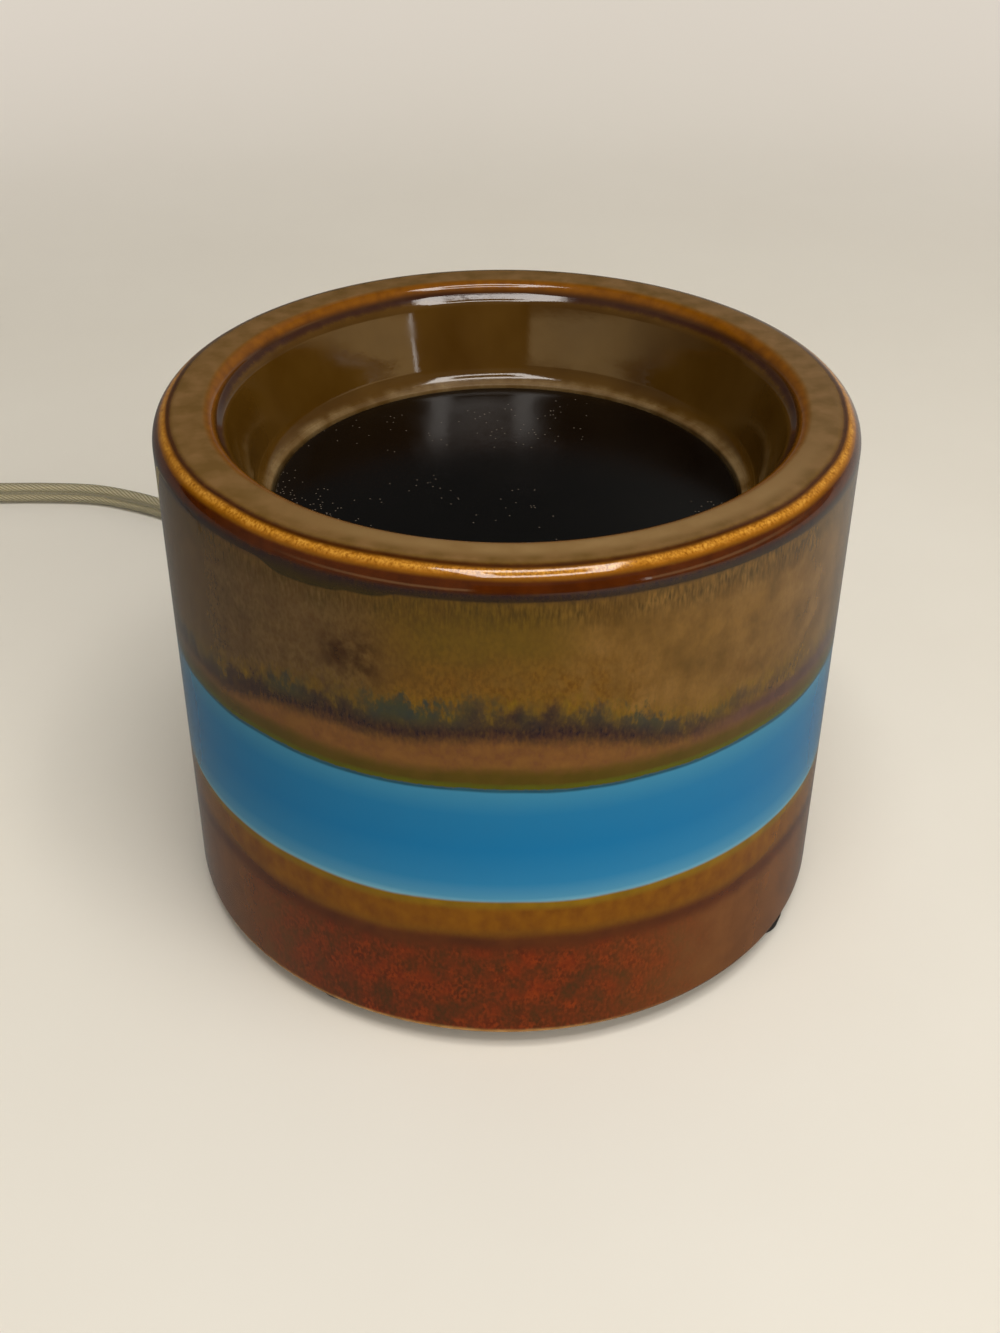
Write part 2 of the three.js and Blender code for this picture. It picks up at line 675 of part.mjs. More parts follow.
// Base cover with a raised middle, and the nut that closes the stack.
const coverRadius = openingRadius + BASE_REBATE_WIDTH - COVER_EDGE_GAP;
const dishFoot = COVER_DISH_RADIUS + COVER_DISH_SLOPE;
const cover = turned(
  [
    [rodHole, coverUnder + COVER_DISH_HEIGHT],
    [COVER_DISH_RADIUS, coverUnder + COVER_DISH_HEIGHT, COVER_ROUND],
    [dishFoot, coverUnder, COVER_ROUND],
    [coverRadius, coverUnder],
    [coverRadius, coverTop],
    [dishFoot, coverTop, COVER_ROUND],
    [COVER_DISH_RADIUS, coverTop + COVER_DISH_HEIGHT, COVER_ROUND],
    [rodHole, coverTop + COVER_DISH_HEIGHT],
  ],
  SIDES_MEDIUM,
  ARC_SAG_INSIDE,
);
add("base_cover", cover, blackPaint);
add("base_washer", washer(BASE_WASHER_RADIUS, BASE_WASHER_THICKNESS, baseWasherTop), zincSteel);
add("base_nut", hexNut(baseNutTop, rodHole), zincSteel);

// Thermal fuse under the clamp plate, in a spring clip with one ear on each side.
const fuseHeight = clampUnder - FIT_GAP - FUSE_RADIUS;
const fuseGroup = new THREE.Group();
fuseGroup.position.set(
  fuseOrbit * Math.cos(radians(FUSE_ANGLE)),
  fuseOrbit * Math.sin(radians(FUSE_ANGLE)),
  0,
);
fuseGroup.rotation.z = radians(FUSE_ANGLE - 90);
warmer.add(fuseGroup);

const fuse = rod(FUSE_RADIUS, -FUSE_LENGTH / 2, FUSE_LENGTH / 2, SIDES_SMALL);
add("thermal_fuse", alongX(fuse).translate(0, 0, fuseHeight), aluminium, fuseGroup);

function fuseClip() {
  const inner = FUSE_RADIUS + FIT_GAP;
  const outer = inner + CLIP_THICKNESS;
  const top = clampUnder - FIT_GAP;
  const earEnd = outer + CLIP_EAR;
  const earUnder = top - CLIP_THICKNESS;
  const shape = new THREE.Shape();
  shape.moveTo(-earEnd, top);
  shape.lineTo(-earEnd, earUnder);
  shape.lineTo(-outer, earUnder);
  shape.absarc(0, fuseHeight, outer, Math.PI, 2 * Math.PI, false);
  shape.lineTo(outer, earUnder);
  shape.lineTo(earEnd, earUnder);
  shape.lineTo(earEnd, top);
  shape.lineTo(inner, top);
  shape.absarc(0, fuseHeight, inner, 2 * Math.PI, Math.PI, true);
  shape.lineTo(-inner, top);
  const geometry = plain(shape, CLIP_WIDTH).translate(0, 0, -CLIP_WIDTH / 2);
  return geometry.rotateX(Math.PI / 2).rotateZ(Math.PI / 2);
}

add("fuse_clip", fuseClip(), zincSteel, fuseGroup);

// A place beside the fuse, along its axis, in the body's frame.
function besideFuse(along, height) {
  const angle = radians(FUSE_ANGLE);
  return [
    fuseOrbit * Math.cos(angle) + along * Math.sin(angle),
    fuseOrbit * Math.sin(angle) - along * Math.cos(angle),
    height,
  ];
}

// Cord bushing: a snap collar through the wall, a flange outside it and a grooved, tapered tail.
function bushing() {
  const collar = ENTRY_RADIUS - FIT_GAP;
  const tailRoot = entryOutside + BUSHING_FLANGE_THICKNESS;
  const corners = [
    [0, bushingInnerEnd],
    [collar - BUSHING_SNAP, bushingInnerEnd],
    [snapRadius, entryInside - BUSHING_SNAP],
    [snapRadius, entryInside],
    [collar, entryInside],
    [collar, entryOutside],
    [BUSHING_FLANGE_RADIUS, entryOutside],
    [BUSHING_FLANGE_RADIUS, tailRoot, BUSHING_FLANGE_THICKNESS / 2],
  ];
  const pitch = BUSHING_TAIL_LENGTH / (2 * BUSHING_GROOVES + 2);
  const radiusAt = (along) =>
    THREE.MathUtils.lerp(BUSHING_TAIL_ROOT_RADIUS, BUSHING_TAIL_END_RADIUS, along / BUSHING_TAIL_LENGTH);
  corners.push([radiusAt(0), tailRoot]);
  for (let i = 0; i < BUSHING_GROOVES; i += 1) {
    const from = pitch * (2 * i + 1.5);
    const to = from + pitch;
    corners.push([radiusAt(from), tailRoot + from]);
    corners.push([radiusAt(from) - BUSHING_GROOVE_DEPTH, tailRoot + from]);
    corners.push([radiusAt(to) - BUSHING_GROOVE_DEPTH, tailRoot + to]);
    corners.push([radiusAt(to), tailRoot + to]);
  }
  corners.push([BUSHING_TAIL_END_RADIUS, bushingEnd], [0, bushingEnd]);
  return alongY(turned(corners, SIDES_SMALL)).rotateY(Math.PI).translate(0, 0, ENTRY_HEIGHT);
}

add("cord_bushing", bushing(), blackRubber);

// Inside, the cord's two halves end in crimp caps on the base cover, and leads rise to the heater.
const capHeight = coverTop + FIT_GAP + CAP_RADIUS;
const mouth = capMouth + FIT_GAP;
const tailStart = bushingInnerEnd - FIT_GAP;
const tailRadius = (CORD_WIDTH / 2 - TAIL_GAP) / 2;
const lineSide = -CAP_OFFSET;
const neutralSide = CAP_OFFSET;

function crimpCap(x) {
  const cap = turned(
    [
      [0, -CAP_LENGTH],
      [CAP_RADIUS - CAP_ROUND / 2, -CAP_LENGTH, CAP_ROUND],
      [CAP_RADIUS, 0],
      [0, 0],
    ],
    SIDES_SMALL,
    ARC_SAG_INSIDE,
  );
  return cap.rotateX(-Math.PI / 2).translate(x, capMouth, capHeight);
}

function cordTail(side, startHeight) {
  const inward = Math.sign(side);
  return wire(
    [
      [0, tailStart, startHeight],
      [0, tailStart - WIRE_STRAIGHT, startHeight],
      [side / 2, (tailStart + mouth) / 2, (startHeight + capHeight) / 2],
      [side - CAP_WIRE_OFFSET * inward, mouth + WIRE_STRAIGHT, capHeight],
      [side - CAP_WIRE_OFFSET * inward, mouth, capHeight],
    ],
    tailRadius,
  );
}

add("crimp_cap_line", crimpCap(lineSide), nylonCap);
add("crimp_cap_neutral", crimpCap(neutralSide), nylonCap);
add("cord_tail_line", cordTail(lineSide, ENTRY_HEIGHT + CORD_WIDTH / 4), clearPvc);
add("cord_tail_neutral", cordTail(neutralSide, ENTRY_HEIGHT - CORD_WIDTH / 4), clearPvc);

const leadTop = elementTop - ELEMENT_THICKNESS - FIT_GAP;
const fuseEnd = FUSE_LENGTH / 2 + FIT_GAP;
const midHeight = (capHeight + shieldUnder) / 2;

const neutralLead = wire(
  [
    [neutralSide + CAP_WIRE_OFFSET, mouth, capHeight],
    [neutralSide + CAP_WIRE_OFFSET, mouth + WIRE_STRAIGHT, capHeight],
    [neutralSide + CAP_WIRE_OFFSET, mouth, midHeight - LEAD_BOW_LOW],
    [neutralSide, (mouth + startPlace[1]) / 2, midHeight + LEAD_BOW_HIGH],
    [...startPlace, shieldUnder - LEAD_PLUMB],
    [...startPlace, shieldTop],
    [...startPlace, leadTop - WIRE_STRAIGHT],
    [...startPlace, leadTop],
  ],
  LEAD_RADIUS,
);
add("element_lead_neutral", neutralLead, siliconeWhite);

const lineLead = wire(
  [
    [lineSide - CAP_WIRE_OFFSET, mouth, capHeight],
    [lineSide - CAP_WIRE_OFFSET, mouth + WIRE_STRAIGHT, capHeight],
    [lineSide - CAP_WIRE_OFFSET, mouth, midHeight - LEAD_BOW_LOW],
    [lineSide, (mouth + lineHolePlace[1]) / 2, midHeight + LEAD_BOW_HIGH],
    [...lineHolePlace, shieldUnder - LEAD_PLUMB],
    [...lineHolePlace, shieldTop],
    [...lineHolePlace, fuseHeight - FUSE_LEAD_DROP],
    besideFuse(-fuseEnd - FUSE_LEAD_STRAIGHT, fuseHeight),
    besideFuse(-fuseEnd, fuseHeight),
  ],
  LEAD_RADIUS,
);
add("element_lead_line", lineLead, siliconeRed);

const fuseLead = wire(
  [
    besideFuse(fuseEnd, fuseHeight),
    besideFuse(fuseEnd + FUSE_LEAD_STRAIGHT, fuseHeight),
    [...endPlace, clampUnder - WIRE_STRAIGHT / 2],
    [...endPlace, leadTop],
  ],
  LEAD_RADIUS,
);
add("fuse_lead", fuseLead, siliconeRed);

// The cord's section stands on its narrow edge: two round halves one above the other.
function cordSection() {
  const round = CORD_THICKNESS / 2;
  const offset = CORD_WIDTH / 2 - round;
  const shape = new THREE.Shape();
  shape.absarc(offset, 0, round, -Math.PI / 2, Math.PI / 2, false);
  shape.absarc(-offset, 0, round, Math.PI / 2, 1.5 * Math.PI, false);
  return shape;
}

// A path whose section stays upright, however the path climbs and turns.
class UprightPath extends THREE.CatmullRomCurve3 {
  computeFrenetFrames(segments) {
    const up = new THREE.Vector3(0, 0, 1);
    const frames = { tangents: [], normals: [], binormals: [] };
    for (let i = 0; i <= segments; i += 1) {
      const tangent = this.getTangentAt(i / segments);
      const binormal = new THREE.Vector3().crossVectors(tangent, up).normalize();
      frames.tangents.push(tangent);
      frames.normals.push(new THREE.Vector3().crossVectors(binormal, tangent));
      frames.binormals.push(binormal);
    }
    return frames;
  }
}

function cordRun(points) {
  const extrudePath = new UprightPath(asVectors(points));
  const steps = Math.max(CORD_LEAST_STEPS, Math.round(extrudePath.getLength() / CORD_STEP));
  return welded(new THREE.ExtrudeGeometry(cordSection(), { steps, extrudePath, curveSegments: 2 }));
}

// Cord from the bushing, down to the floor and round to the switch.
const cordStart = bushingEnd + FIT_GAP;
const switchRear = SWITCH_PLACE[1] + SWITCH_LENGTH / 2 + FIT_GAP;
const switchFront = SWITCH_PLACE[1] - SWITCH_LENGTH / 2 - FIT_GAP;
const switchCordHeight = FLOOR_GAP + SWITCH_HEIGHT / 2;
const CORD_ROUTE = [
  [0, cordStart, ENTRY_HEIGHT],
  [0, cordStart + CORD_STRAIGHT, ENTRY_HEIGHT],
  [-0.4, 95.5, 16],
  [-2, 102, 13.2],
  [-7, 111, 8.6],
  [-15.5, 119.5, 4.8],
  [-27, 127, 3.3],
  [-39.5, 133.5, CORD_FLOOR_Z],
  [-51.5, 140.8, CORD_FLOOR_Z],
  [-61.5, 149.5, CORD_FLOOR_Z],
  [-72, 156.6, CORD_FLOOR_Z],
  [-84, 160.8, CORD_FLOOR_Z],
  [-97.5, 164.2, CORD_FLOOR_Z],
  [-113, 168, CORD_FLOOR_Z],
  [-129, 171.4, CORD_FLOOR_Z],
  [-145, 172.4, CORD_FLOOR_Z],
  [-159.5, 168.8, CORD_FLOOR_Z],
  [-171, 160, 3.6],
  [-177.3, 149, 5.3],
  [-179.6, 141, 7.7],
  [SWITCH_PLACE[0], switchRear + CORD_STRAIGHT, switchCordHeight],
  [SWITCH_PLACE[0], switchRear, switchCordHeight],
];
add("supply_cord", cordRun(CORD_ROUTE), clearPvc);

// In-line switch: two shells screwed together from below, and a rocker in a window of the cover.
// Its own frame has the cord along X and the floor at z = 0.
const switchGroup = new THREE.Group();
switchGroup.position.set(SWITCH_PLACE[0], SWITCH_PLACE[1], FLOOR_GAP);
switchGroup.rotation.z = -Math.PI / 2;
warmer.add(switchGroup);

const SWITCH_SPLIT = SWITCH_HEIGHT / 2;
const pivotHeight = SWITCH_HEIGHT + ROCKER_PROUD - ROCKER_CREST * Math.cos(radians(ROCKER_THROW / 2));
const rockerHalf = ROCKER_LENGTH / 2;
const rockerEndHeight = ROCKER_CREST + rockerHalf * Math.tan(radians(ROCKER_THROW / 2));
const rockerReach = Math.hypot(rockerHalf, rockerEndHeight);
const bridgeTop = -ROCKER_DEPTH - FIT_GAP;
const bridgeUnder = bridgeTop - BRIDGE_THICKNESS;

// Plan of the switch, drawn in from the outside by a margin.
function switchPlan(margin) {
  const end = SWITCH_LENGTH / 2 - margin;
  const neck = SWITCH_NECK / 2 - margin;
  const belly = SWITCH_WIDTH / 2 - margin;
  const round = Math.max(SWITCH_END_ROUND - margin, 0);
  const side = end - round;
  const low = neck - round;
  const pull = end * SWITCH_SWELL;
  const shape = new THREE.Shape();
  shape.moveTo(end, -low);
  shape.lineTo(end, low);
  shape.quadraticCurveTo(end, neck, side, neck);
  shape.bezierCurveTo(side - pull, neck, pull, belly, 0, belly);
  shape.bezierCurveTo(-pull, belly, pull - side, neck, -side, neck);
  shape.quadraticCurveTo(-end, neck, -end, low);
  shape.lineTo(-end, -low);
  shape.quadraticCurveTo(-end, -neck, -side, -neck);
  shape.bezierCurveTo(pull - side, -neck, -pull, -belly, 0, -belly);
  shape.bezierCurveTo(pull, -belly, side - pull, -neck, side, -neck);
  shape.quadraticCurveTo(end, -neck, end, -low);
  return shape;
}

function switchHalf(bottom, top) {
  const outside = bevelled(switchPlan(0), SWITCH_HEIGHT, SWITCH_EDGE_ROUND, CURVE_STEPS);
  const reach = SWITCH_LENGTH;
  const half = common(outside, boxBetween([-reach, -reach, bottom], [reach, reach, top]));
  const inside = new THREE.ExtrudeGeometry(switchPlan(SWITCH_WALL), {
    depth: SWITCH_HEIGHT - 2 * SWITCH_WALL,
    bevelEnabled: false,
    curveSegments: CURVE_STEPS,
  });
  return cut(half, inside.translate(0, 0, SWITCH_WALL));
}

function atScrews(make) {
  return [-SWITCH_SCREW_OFFSET, SWITCH_SCREW_OFFSET].map((x) => make().translate(x, 0, 0));
}

const screwHole = SCREW_RADIUS + FIT_GAP;
const screwPost = screwHole + SCREW_POST_WALL;
const screwSink = SCREW_SINK + SCREW_HEAD_HEIGHT + FIT_GAP;
const screwTip = SWITCH_HEIGHT - SCREW_END_COVER;

function switchBase() {
  const top = SWITCH_SPLIT - FIT_GAP / 2;
  const posts = atScrews(() => rod(screwPost, SWITCH_WALL / 2, top, SIDES_SMALL));
  const bores = atScrews(() => rod(screwHole, -OVERRUN, SWITCH_HEIGHT, SIDES_SMALL));
  const sinks = atScrews(() => rod(SCREW_HEAD_RADIUS + FIT_GAP, -OVERRUN, screwSink, SIDES_SMALL));
  return cut(join(switchHalf(0, top), ...posts), ...bores, ...sinks);
}

// The cover carries two cheeks beside the window, with the holes that the rocker's pins turn in.
function switchCover() {
  const bottom = SWITCH_SPLIT + FIT_GAP / 2;
  const posts = atScrews(() => rod(screwPost, bottom, SWITCH_HEIGHT - SWITCH_WALL / 2, SIDES_SMALL));
  const bores = atScrews(() => rod(screwHole, -OVERRUN, screwTip, SIDES_SMALL));
  const windowY = ROCKER_WIDTH / 2 + FIT_GAP;
  const windowX = rockerReach + FIT_GAP;
  const cheekEnd = windowY + CHEEK_THICKNESS;
  const cheekBottom = pivotHeight - CHEEK_DEPTH;
  const cheekTop = SWITCH_HEIGHT - SWITCH_WALL / 2;
  const cheeks = [1, -1].map((side) =>
    boxBetween(
      [-rockerHalf, Math.min(side * windowY, side * cheekEnd), cheekBottom],
      [rockerHalf, Math.max(side * windowY, side * cheekEnd), cheekTop],
    ),
  );
  const windowCut = boxBetween(
    [-windowX, -windowY, bottom - OVERRUN],
    [windowX, windowY, SWITCH_HEIGHT + OVERRUN],
  );
  const pinReach = ROCKER_WIDTH / 2 + PIVOT_LENGTH + FIT_GAP;
  const pinBore = alongY(rod(PIVOT_RADIUS + FIT_GAP, -pinReach, pinReach, SIDES_SMALL));
  const solid = join(switchHalf(bottom, SWITCH_HEIGHT), ...posts, ...cheeks);
  return cut(solid, ...bores, windowCut, pinBore.translate(0, 0, pivotHeight));
}

// Rocker in its own frame: pivot pins on Y, two faces that meet in a shallow valley, and end walls
// that are arcs about the pivot, so that they keep their clearance as it tips.
function rocker() {
  const endAngle = Math.atan2(rockerEndHeight, rockerHalf);
  const lowAngle = -Math.asin(ROCKER_DEPTH / rockerReach);
  const shape = new THREE.Shape();
  shape.moveTo(0, ROCKER_CREST);
  shape.absarc(0, 0, rockerReach, Math.PI - endAngle, Math.PI - lowAngle, false);
  shape.absarc(0, 0, rockerReach, lowAngle, endAngle, false);
  shape.lineTo(0, ROCKER_CREST);
  const block = plain(shape, ROCKER_WIDTH).translate(0, 0, -ROCKER_WIDTH / 2);
  const pinEnd = ROCKER_WIDTH / 2 + PIVOT_LENGTH;
  return join(block.rotateX(Math.PI / 2), alongY(rod(PIVOT_RADIUS, -pinEnd, pinEnd, SIDES_SMALL)));
}

function switchScrew() {
  return turned(
    [
      [0, SCREW_SINK],
      [SCREW_HEAD_RADIUS, SCREW_SINK],
      [SCREW_HEAD_RADIUS, SCREW_SINK + SCREW_HEAD_HEIGHT],
      [SCREW_RADIUS, SCREW_SINK + SCREW_HEAD_HEIGHT],
      [SCREW_RADIUS, screwTip - 2 * FIT_GAP],
      [0, screwTip - 2 * FIT_GAP],
    ],
    SIDES_SMALL,
  );
}

function contactPost(top) {
  return turned(
    [
      [0, SWITCH_WALL + SEAT_GAP],
      [POST_RADIUS, SWITCH_WALL + SEAT_GAP],
      [POST_RADIUS, top, POST_ROUND],
      [0, top],
    ],
    SIDES_SMALL,
    ARC_SAG_INSIDE,
  );
}

add("switch_base", switchBase(), milkyPlastic, switchGroup);
add("switch_cover", switchCover(), milkyPlastic, switchGroup);
add("switch_screw_rear", switchScrew(), zincSteel, switchGroup).position.x = -SWITCH_SCREW_OFFSET;
add("switch_screw_front", switchScrew(), zincSteel, switchGroup).position.x = SWITCH_SCREW_OFFSET;

const rockerGroup = new THREE.Group();
rockerGroup.position.z = pivotHeight;
rockerGroup.rotation.y = radians(-ROCKER_THROW / 2);
switchGroup.add(rockerGroup);
add("switch_rocker", rocker(), whitePlastic, rockerGroup);

// A bridge under the rocker tips onto the outer post when the switch is on.
const bridgeHalf = [BRIDGE_LENGTH / 2, BRIDGE_WIDTH / 2];
const bridge = boxBetween(
  [-bridgeHalf[0], -bridgeHalf[1], bridgeUnder],
  [bridgeHalf[0], bridgeHalf[1], bridgeTop],
);
add("contact_bridge", bridge, brass, rockerGroup);

const tilt = radians(ROCKER_THROW / 2);
const bridgeLowAtPost = bridgeUnder / Math.cos(tilt) - (POST_OFFSET + POST_RADIUS) * Math.tan(tilt);
const bridgeLowAtMiddle = bridgeUnder / Math.cos(tilt) - POST_RADIUS * Math.tan(tilt);
const outerPost = contactPost(pivotHeight + bridgeLowAtPost - FIT_GAP);
const middlePost = contactPost(pivotHeight + bridgeLowAtMiddle - FIT_GAP);
add("contact_post_outer", outerPost, brass, switchGroup).position.x = POST_OFFSET;
add("contact_post_middle", middlePost, brass, switchGroup);

// Coil of spare cord: the outer shape of its turns, a tie round them, and the two ends.
const coilBuild = COIL_TURNS_ACROSS * CORD_THICKNESS + COIL_SLACK;
const coilInner = COIL_MIDDLE_RADIUS - coilBuild / 2;
const coilOuter = COIL_MIDDLE_RADIUS + coilBuild / 2;
const coilTop = COIL_FLOOR + COIL_LAYERS * CORD_WIDTH + COIL_SLACK;
const coil = turned(
  [
    [coilInner, COIL_FLOOR, COIL_ROUND],
    [coilOuter, COIL_FLOOR, COIL_ROUND],
    [coilOuter, coilTop, COIL_ROUND],
    [coilInner, coilTop, COIL_ROUND],
  ],
  SIDES_MEDIUM,
  ARC_SAG_INSIDE,
);
add("cord_coil", coil, clearPvc).position.set(...COIL_CENTRE, 0);

function coilTie() {
  const bulge = TIE_WIDTH ** 2 / (8 * coilInner);
  const halfBuild = coilBuild / 2 + bulge + TIE_GAP;
  const low = COIL_FLOOR - TIE_GAP;
  const high = coilTop + TIE_GAP;
  const corners = (grow, round) => [
    [-halfBuild - grow, low - grow, round],
    [halfBuild + grow, low - grow, round],
    [halfBuild + grow, high + grow, round],
    [-halfBuild - grow, high + grow, round],
  ];
  const shape = outlineShape(corners(TIE_THICKNESS, COIL_ROUND + TIE_THICKNESS));
  shape.holes.push(new THREE.Path(filleted(corners(0, COIL_ROUND))));
  return plain(shape, TIE_WIDTH).translate(0, 0, -TIE_WIDTH / 2).rotateX(Math.PI / 2);
}

const tie = add("coil_tie", coilTie(), blackRubber);
tie.position.set(
  COIL_CENTRE[0] + COIL_MIDDLE_RADIUS * Math.cos(radians(TIE_ANGLE)),
  COIL_CENTRE[1] + COIL_MIDDLE_RADIUS * Math.sin(radians(TIE_ANGLE)),
  0,
);
tie.rotation.z = radians(TIE_ANGLE);

// How far from the coil's middle a straight run beside it, at this distance from the centre, must
// stop to stay clear of the coil.
function coilClear(distance) {
  const innerSide = distance - CORD_THICKNESS / 2;
  return Math.sqrt(coilOuter ** 2 - innerSide ** 2) + FIT_GAP;
}

const coilRunIn = COIL_CENTRE[0] - SWITCH_PLACE[0];
const coilInY = COIL_CENTRE[1] + coilClear(coilRunIn);
const coilInZ = COIL_FLOOR + CORD_WIDTH / 2;
const coilLead = [
  [SWITCH_PLACE[0], switchFront, switchCordHeight],
  [SWITCH_PLACE[0], switchFront - CORD_STRAIGHT, switchCordHeight],
  [SWITCH_PLACE[0], (switchFront + coilInY) / 2, (switchCordHeight + coilInZ) / 2],
  [SWITCH_PLACE[0], coilInY + CORD_STRAIGHT, coilInZ],
  [SWITCH_PLACE[0], coilInY, coilInZ],
];
add("coil_lead_in", cordRun(coilLead), clearPvc);

const coilOutY = COIL_CENTRE[1] - coilClear(coilRunIn);
const coilOutZ = coilTop - CORD_WIDTH / 2;
const plugRear = PLUG_PLACE[1] + FIT_GAP;
const plugCordHeight = FLOOR_GAP + PLUG_HEIGHT / 2;
const plugLead = [
  [PLUG_PLACE[0], coilOutY, coilOutZ],
  [PLUG_PLACE[0], coilOutY - CORD_STRAIGHT, coilOutZ],
  [PLUG_PLACE[0], plugRear + CORD_STRAIGHT, plugCordHeight],
  [PLUG_PLACE[0], plugRear, plugCordHeight],
];
add("plug_lead", cordRun(plugLead), clearPvc);

// Plug: the plan and the side view meet in one body, with a tapered relief behind it. Its own frame
// has the blades along +X and the relief's end at x = 0.
const plugGroup = new THREE.Group();
plugGroup.position.set(PLUG_PLACE[0], PLUG_PLACE[1], FLOOR_GAP);
plugGroup.rotation.z = -Math.PI / 2;
warmer.add(plugGroup);

const plugBack = PLUG_RELIEF_LENGTH;
const plugFace = plugBack + PLUG_LENGTH;
const plugMiddle = PLUG_HEIGHT / 2;

function plugPlan() {
  const shape = new THREE.Shape();
  const rear = PLUG_REAR_WIDTH / 2;
  const face = PLUG_FACE_WIDTH / 2;
  const waist = PLUG_WAIST / 2;
  const flange = plugFace - PLUG_FLANGE;
  const [bowBack, bowFace] = [plugBack + PLUG_BOW, plugFace - PLUG_BOW];
  shape.moveTo(plugBack, -rear);
  shape.bezierCurveTo(bowBack, -waist, bowFace, -waist, flange, -face);
  shape.lineTo(plugFace, -face);
  shape.lineTo(plugFace, face);
  shape.lineTo(flange, face);
  shape.bezierCurveTo(bowFace, waist, bowBack, waist, plugBack, rear);
  return shape;
}

function plugSide() {
  const drop = (PLUG_HEIGHT - PLUG_REAR_HEIGHT) / 2;
  const shoulder = plugBack + PLUG_SHOULDER;
  const side = outlineShape([
    [plugBack - OVERRUN, drop, PLUG_EDGE_ROUND],
    [shoulder, 0, PLUG_BOW],
    [plugFace, 0, PLUG_EDGE_ROUND],
    [plugFace, PLUG_HEIGHT, PLUG_EDGE_ROUND],
    [shoulder, PLUG_HEIGHT, PLUG_BOW],
    [plugBack - OVERRUN, PLUG_HEIGHT - drop, PLUG_EDGE_ROUND],
  ]);
  const reach = PLUG_FACE_WIDTH;
  return plain(side, 2 * reach).translate(0, 0, -reach).rotateX(Math.PI / 2);
}

function bladeSlot(side, width) {
  const halfThickness = BLADE_THICKNESS / 2 + FIT_GAP;
  const halfWidth = width / 2 + FIT_GAP;
  const y = (side * BLADE_SPACING) / 2;
  return boxBetween(
    [plugFace - BLADE_ROOT - FIT_GAP, y - halfThickness, plugMiddle - halfWidth],
    [plugFace + OVERRUN, y + halfThickness, plugMiddle + halfWidth],
  );
}

// Finger grooves across the top and the underside.
function gripCuts() {
  const cuts = [];
  const reach = PLUG_FACE_WIDTH;
  for (let i = 0; i < GRIP_COUNT; i += 1) {
    const from = plugBack + GRIP_START + GRIP_PITCH * i;
    const to = from + GRIP_WIDTH;
    cuts.push(boxBetween([from, -reach, -OVERRUN], [to, reach, GRIP_DEPTH]));
    cuts.push(boxBetween([from, -reach, PLUG_HEIGHT - GRIP_DEPTH], [to, reach, PLUG_HEIGHT + OVERRUN]));
  }
  return cuts;
}

function plugBody() {
  const plan = bevelled(plugPlan(), PLUG_HEIGHT, PLUG_EDGE_ROUND, CURVE_STEPS);
  const relief = alongX(
    turned(
      [
        [0, 0],
        [PLUG_RELIEF_END_RADIUS, 0],
        [PLUG_RELIEF_ROOT_RADIUS, plugBack + OVERRUN],
        [0, plugBack + OVERRUN],
      ],
      SIDES_SMALL,
    ),
  );
  const body = join(common(plan, plugSide()), relief.translate(0, 0, plugMiddle));
  const slots = [bladeSlot(1, BLADE_WIDTHS.line), bladeSlot(-1, BLADE_WIDTHS.neutral)];
  return cut(body, ...slots, ...gripCuts());
}

function plugBlade(side, width) {
  const half = width / 2;
  const start = plugFace - BLADE_ROOT;
  const end = plugFace + BLADE_LENGTH;
  const shape = outlineShape([
    [start, plugMiddle - half],
    [end, plugMiddle - half, BLADE_TIP_CHAMFER],
    [end, plugMiddle + half, BLADE_TIP_CHAMFER],
    [start, plugMiddle + half],
  ]);
  const hole = new THREE.Path();
  hole.absarc(plugFace + BLADE_HOLE_PLACE, plugMiddle, BLADE_HOLE_RADIUS, 0, 2 * Math.PI, true);
  shape.holes.push(hole);
  const blade = plain(shape, BLADE_THICKNESS).translate(0, 0, -BLADE_THICKNESS / 2);
  return blade.rotateX(Math.PI / 2).translate(0, (side * BLADE_SPACING) / 2, 0);
}

add("plug_body", plugBody(), milkyPlastic, plugGroup);
add("plug_blade_line", plugBlade(1, BLADE_WIDTHS.line), brass, plugGroup);
add("plug_blade_neutral", plugBlade(-1, BLADE_WIDTHS.neutral), brass, plugGroup);

export default warmer;
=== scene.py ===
# %% [markdown]
# # Electric wax warmer
# A glazed stoneware drum on four rubber feet, with a black hot plate sunk in its well. A clear
# flat cord comes out of the back, with a rocker switch in it and a plug on its end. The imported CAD
# model is loaded as a fixed frame. Each piece below is made in metres in that frame, stands where
# its plain solid stands, and rides on the same body.

# %% Frame
import json
import math

import bmesh
import bpy
from mathutils import Matrix, Vector
from mathutils.geometry import interpolate_bezier


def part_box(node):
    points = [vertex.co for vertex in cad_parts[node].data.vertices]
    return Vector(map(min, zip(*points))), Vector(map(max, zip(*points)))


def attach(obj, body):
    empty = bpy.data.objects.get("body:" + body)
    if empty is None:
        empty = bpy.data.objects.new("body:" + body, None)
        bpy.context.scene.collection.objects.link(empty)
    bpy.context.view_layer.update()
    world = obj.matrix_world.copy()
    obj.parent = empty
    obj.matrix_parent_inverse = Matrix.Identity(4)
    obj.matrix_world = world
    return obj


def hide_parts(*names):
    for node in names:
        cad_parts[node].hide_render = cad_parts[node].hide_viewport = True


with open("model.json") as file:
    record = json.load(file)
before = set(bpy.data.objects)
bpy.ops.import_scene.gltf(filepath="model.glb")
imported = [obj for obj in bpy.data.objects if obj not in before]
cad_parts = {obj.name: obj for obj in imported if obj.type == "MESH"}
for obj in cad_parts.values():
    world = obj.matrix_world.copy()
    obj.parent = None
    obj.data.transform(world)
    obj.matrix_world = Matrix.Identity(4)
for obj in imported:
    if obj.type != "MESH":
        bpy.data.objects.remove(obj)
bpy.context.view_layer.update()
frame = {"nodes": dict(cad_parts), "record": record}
MM = 0.001

